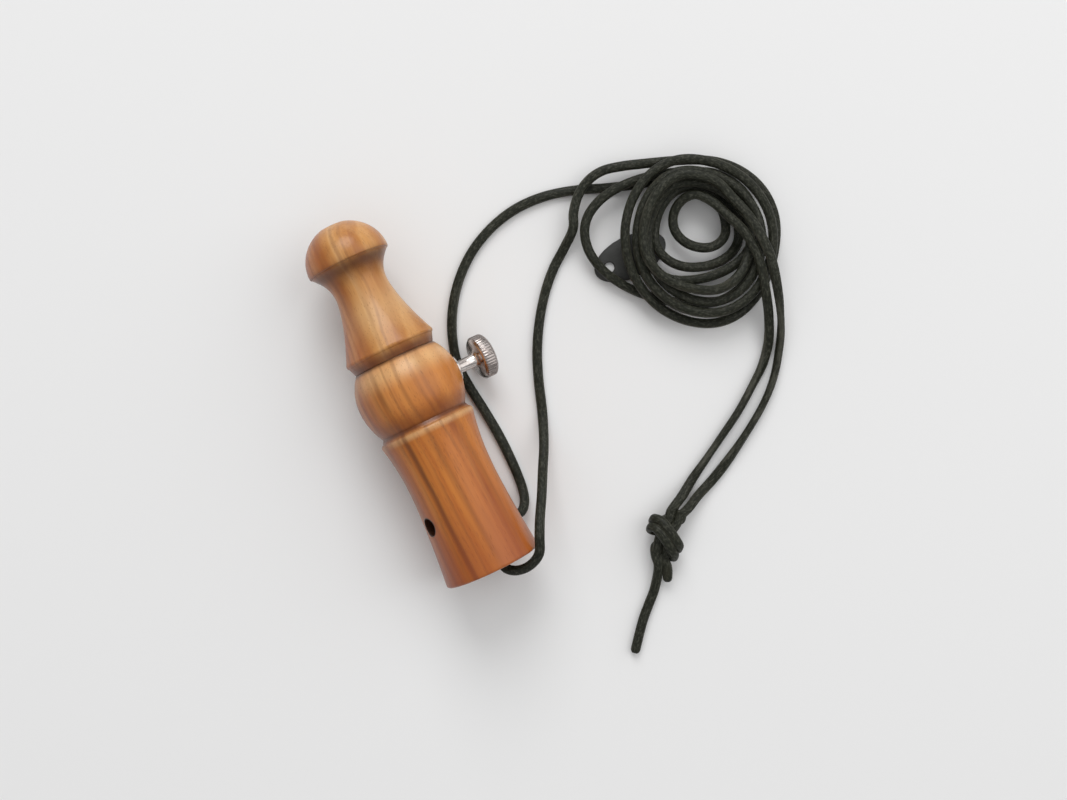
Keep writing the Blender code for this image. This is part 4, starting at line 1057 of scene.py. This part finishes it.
def lace_tube(name, points, skin, flatness, seed, lean=None, sides=None, start=0.0):
    """A lace along the points, and its centreline. Lean tilts the flat, and sides gives its direction."""
    count = len(points)
    verts = []
    places = []
    path = []
    length = start
    for number, point in enumerate(points):
        part = number / (count - 1)
        before = points[max(0, number - 1)]
        heading = (points[min(count - 1, number + 1)] - before).normalized()
        length += (point - before).length
        if sides:
            side = (sides[number] - heading * sides[number].dot(heading)).normalized()
        else:
            side = heading.cross(UP).normalized()
        flat = flatness(part)
        twist = LACE_TWIST * flat * wave(length * 0.7, seed + 1.7)
        if lean:
            twist += lean(part)
        size = 1.0 + LACE_SWELL * wave(length * 1.9, seed + 0.4)
        to_end = count - 1 - number
        if to_end < len(END_SHARES):
            size *= END_SHARES[to_end]
        section = lace_section(side, heading, twist, flat, size)
        centre = point if sides else settled(point, section)
        path.append(centre * MM)
        verts += [(centre + offset) * MM for offset in section]
        for step in range(LACE_SIDES):
            angle = tau * step / LACE_SIDES
            places += [PATTERN_R * cos(angle), PATTERN_R * sin(angle) + PATTERN_SHIFT * seed, length]
    last = (count - 1) * LACE_SIDES
    faces = []
    for low in range(0, last, LACE_SIDES):
        faces += ring_faces(low, low + LACE_SIDES, LACE_SIDES)
    faces.append(tuple(range(LACE_SIDES - 1, -1, -1)))
    faces.append(tuple(range(last, last + LACE_SIDES)))
    mesh = bpy.data.meshes.new(name)
    mesh.from_pydata(verts, [], faces)
    mesh.attributes.new("lace_place", "FLOAT_VECTOR", "POINT").data.foreach_set("vector", places)
    mesh.polygons.foreach_set("use_smooth", [True] * len(mesh.polygons))
    mesh.update()
    return add_object(name, mesh, skin), path


def make_lace(name, route, skin, seed, coil, lean, leaning):
    """A lace along its route, rounder in the coil and leaning on its edge before the knot."""
    def flatness(part):
        return lerp(FREE_FLATNESS, COIL_FLATNESS, between(part, *coil, 0.04))

    def tilt(part):
        return lean * smooth(between(part, *leaning, 0.03))

    points, length = even_points(smooth_curve(route), LACE_STEP)
    piece, path = lace_tube(name, points, skin, flatness, seed, tilt)
    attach(piece, "call")
    return piece, path, length


def knot_lace(name, route, skin, seed, across):
    """A lace in the knot along its route, with the way across it at each place of the route."""
    points = even_points(smooth_curve(route), KNOT_STEP)[0]
    sides = []
    for point in points:
        near = sorted(range(len(route)), key=lambda index: (route[index] - point).length)[:2]
        first, second = [(route[index] - point).length for index in near]
        share = second / (first + second + 1e-9)
        sides.append(across[near[0]] * share + across[near[1]] * (1.0 - share))
    for _ in range(6):
        before = sides[:1] + sides[:-1]
        after = sides[1:] + sides[-1:]
        sides = [(low + middle * 2.0 + high).normalized() for low, middle, high in zip(before, sides, after)]
    piece = lace_tube(name, points, skin, lambda part: KNOT_FLATNESS, seed, sides=sides,
                      start=KNOT_PATTERN_START)[0]
    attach(piece, "call")
    return piece


def make_knot_core(skin):
    """The two strands that the knot's turn is drawn tight on."""
    pieces = []
    for name, sign, seed in (("lace_core_a", -1.0, 6.2), ("lace_core_b", 1.0, 7.4)):
        route = [knot_point(along, offset + CORE_STRAND_OFFSET * sign, height)
                 for along, offset, height in KNOT_CORE]
        pieces.append(knot_lace(name, route, skin, seed, [KNOT_SIDE] * len(route)))
    return pieces


def make_knot(skin):
    """The doubled lace tied in an overhand knot, each strand running on into its tail."""
    pieces = []
    for name, tail, sign, seed in (("lace_tail_long", TAIL_LONG, -1.0, 4.1),
                                   ("lace_tail_short", TAIL_SHORT, 1.0, 5.3)):
        route = []
        across = []
        for (along, offset, height), way in KNOT_PATH:
            width = Vector(way).normalized() * (KNOT_STRAND_OFFSET * sign)
            route.append(knot_point(along + width.x, offset + width.y, height + width.z))
            across.append(KNOT_DIRECTION * way[0] + KNOT_SIDE * way[1] + UP * way[2])
        route += [Vector(point) for point in tail]
        across += [KNOT_SIDE] * len(tail)
        pieces.append(knot_lace(name, route, skin, seed, across))
    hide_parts("lanyard_knot", "lanyard_tail_long")
    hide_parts("lanyard_tail_short")
    return pieces


def make_tag(skin):
    """A bare oval tag with rounded edges and a hole near one end."""
    half_length = TAG_LENGTH / 2
    half_width = TAG_WIDTH / 2
    hole_at = 3 * TAG_HOLE_R - half_length
    edge = [(0.0, 0.3), (0.09, 0.1), (0.28, 0.0)]
    levels = edge + [(TAG_THICKNESS - height, inset) for height, inset in reversed(edge)]
    ovals = [(0.0, half_length - inset, half_width - inset, height) for height, inset in levels]
    for height, inset in levels:
        radius = TAG_HOLE_R + inset * 0.7
        ovals.append((hole_at, radius, radius, height))
    points = []
    for middle, half_long, half_wide, height in ovals:
        for step in range(TAG_SEGMENTS):
            angle = tau * step / TAG_SEGMENTS
            across = middle + half_long * cos(angle)
            points.append(turned_place(TAG_MIDDLE, TAG_TURN, across, half_wide * sin(angle), height))
    hole = len(levels) * TAG_SEGMENTS
    top = hole - TAG_SEGMENTS
    faces = ring_faces(0, hole, TAG_SEGMENTS) + ring_faces(top, hole + top, TAG_SEGMENTS)
    for low in range(0, top, TAG_SEGMENTS):
        faces += ring_faces(low, low + TAG_SEGMENTS, TAG_SEGMENTS)
        faces += ring_faces(hole + low + TAG_SEGMENTS, hole + low, TAG_SEGMENTS)
    mesh = mesh_from("bare_tag", points, faces)
    shade(mesh)
    piece = add_object("bare_tag", mesh, skin)
    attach(piece, "call")
    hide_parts("lanyard_tag")
    return piece


def make_lanyard():
    """Both laces with their knot and the tag."""
    leather = lace_material("leather")
    route_a, route_b = lace_routes()
    lace_a, path_a, length_a = make_lace("lace_a", route_a, leather, seed=0.6, coil=(0.24, 0.87),
                                         lean=radians(64.0), leaning=(0.9, 0.99))
    lace_b, path_b, length_b = make_lace("lace_b", route_b, leather, seed=2.9, coil=(0.16, 0.87),
                                         lean=radians(84.0), leaning=(0.89, 0.985))
    knot = make_knot(leather)
    core = make_knot_core(leather)
    tag = make_tag(plastic_material("tag_plastic", srgb(34, 35, 32), srgb(58, 58, 55), 0.42, 0.62, 0.00002))
    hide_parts("lanyard_in_bell", "lanyard_leg_knob", "lanyard_coil_a", "lanyard_strand_a")
    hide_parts("lanyard_leg_rim", "lanyard_coil_b", "lanyard_strand_b")
    hole_exit = lace_side(CORD_EXIT_R, CORD_HOLE_AT) * MM
    mouth_exit = lace_side(CORD_MOUTH_OFFSET, 0.0) * MM
    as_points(path_a)
    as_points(path_b)


# Stage
BACKDROP = srgb(230, 230, 230)
FLOOR_HALF = 6000.0
LAMPS_AIM = Vector((0.03, -0.01, 0.0))


def floor_material(name, colour, far_colour):
    """A pale floor that fades far off into the backdrop's plain tone, for what the camera and gloss see."""
    made, tree = shader(name, Base_Color=(*colour, 1.0), Roughness=0.9, Specular_IOR_Level=0.1)
    glow = add_node(tree, "Emission", Color=(*far_colour, 1.0))
    rays = add_node(tree, "LightPath").outputs
    seen = math_node(tree, "MAXIMUM", rays["Is Camera Ray"], rays["Is Glossy Ray"])
    far = ranged(tree, vector_node(tree, "LENGTH", object_place(tree), output=1), 0.2, 0.55)
    blend = add_node(tree, "MixShader")
    feed(tree, blend.inputs[0], math_node(tree, "MULTIPLY", far, seen))
    feed(tree, blend.inputs[1], tree.nodes["Principled BSDF"].outputs[0])
    feed(tree, blend.inputs[2], glow.outputs[0])
    feed(tree, tree.nodes["Material Output"].inputs["Surface"], blend.outputs[0])
    return made


def make_world():
    """Light from all round: the backdrop's tone low down, darker above it and bright overhead."""
    world = bpy.data.worlds.new("studio")
    world.use_nodes = True
    tree = world.node_tree
    height = split(tree, add_node(tree, "TexCoord").outputs["Generated"])["Z"]
    light = ramp(tree, height, [(0.0, BACKDROP), (0.16, srgb(226, 226, 226)), (0.32, (0.28, 0.28, 0.28)),
                                (0.55, (0.34, 0.34, 0.34)), (0.8, (0.7, 0.7, 0.7))])
    feed(tree, tree.nodes["Background"].inputs["Color"], light)
    bpy.context.scene.world = world


def make_lamp(name, direction, distance, size, power):
    data = bpy.data.lights.new(name, "AREA")
    data.shape = "DISK"
    data.size = size
    data.energy = power
    made = add_object(name, data)
    way = Vector(direction).normalized()
    made.location = LAMPS_AIM + way * distance
    made.rotation_mode = "QUATERNION"
    made.rotation_quaternion = way.to_track_quat("Z", "Y")


def make_camera():
    data = bpy.data.cameras.new("camera")
    data.sensor_fit = "HORIZONTAL"
    data.sensor_width = SENSOR_WIDTH
    data.lens = SENSOR_WIDTH * FOCAL_PIXELS / IMAGE_WIDTH
    data.clip_start = 0.01
    data.clip_end = 50.0
    made = add_object("camera", data)
    up = Vector(CAMERA_UP).normalized()
    turn = Matrix((up.cross(UP), up, UP)).transposed()
    made.matrix_world = Matrix.Translation(Vector(CAMERA_AT) * MM) @ turn.to_4x4()
    bpy.context.scene.camera = made


def make_stage():
    bpy.context.scene.view_settings.view_transform = "Standard"
    corners = [(-FLOOR_HALF, -FLOOR_HALF, 0.0), (FLOOR_HALF, -FLOOR_HALF, 0.0),
               (FLOOR_HALF, FLOOR_HALF, 0.0), (-FLOOR_HALF, FLOOR_HALF, 0.0)]
    floor_skin = floor_material("floor", srgb(233, 233, 233), BACKDROP)
    add_object("floor", mesh_from("floor", corners, [(0, 1, 2, 3)]), floor_skin)
    make_world()
    make_lamp("key", (0.28, 0.82, 0.7), 1.7, 1.1, 14.2)
    make_lamp("fill", (0.8, 0.0, 0.7), 1.9, 2.0, 11.2)
    make_camera()


def dress(node, skin):
    """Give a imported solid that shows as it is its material."""
    mesh = frame["nodes"][node].data
    mesh.materials.clear()
    mesh.materials.append(skin)


def main():
    make_stage()
    make_body(body_wood())
    make_mouthpiece(mouthpiece_wood())
    make_thumbscrew(nickel_material("nickel"))
    make_insert(nickel_material("bush_nickel"))
    make_lanyard()

    dress("tenon_cork", cork_material("cork"))
    dress("reed_block", plain_wood_material("block_wood", srgb(168, 124, 84), srgb(128, 88, 54)))
    dress("shallot", brass_material("brass", srgb(220, 186, 120), srgb(176, 138, 78)))
    dress("reed", brass_material("reed_brass", srgb(230, 204, 148), srgb(196, 162, 102)))
    dress("reed_wedge", plain_wood_material("wedge_wood", srgb(196, 164, 118), srgb(160, 124, 80)))
    dress("screw_tip", plastic_material("nylon", srgb(236, 234, 228), srgb(214, 210, 200), 0.4, 0.6, 0.00001))


main()
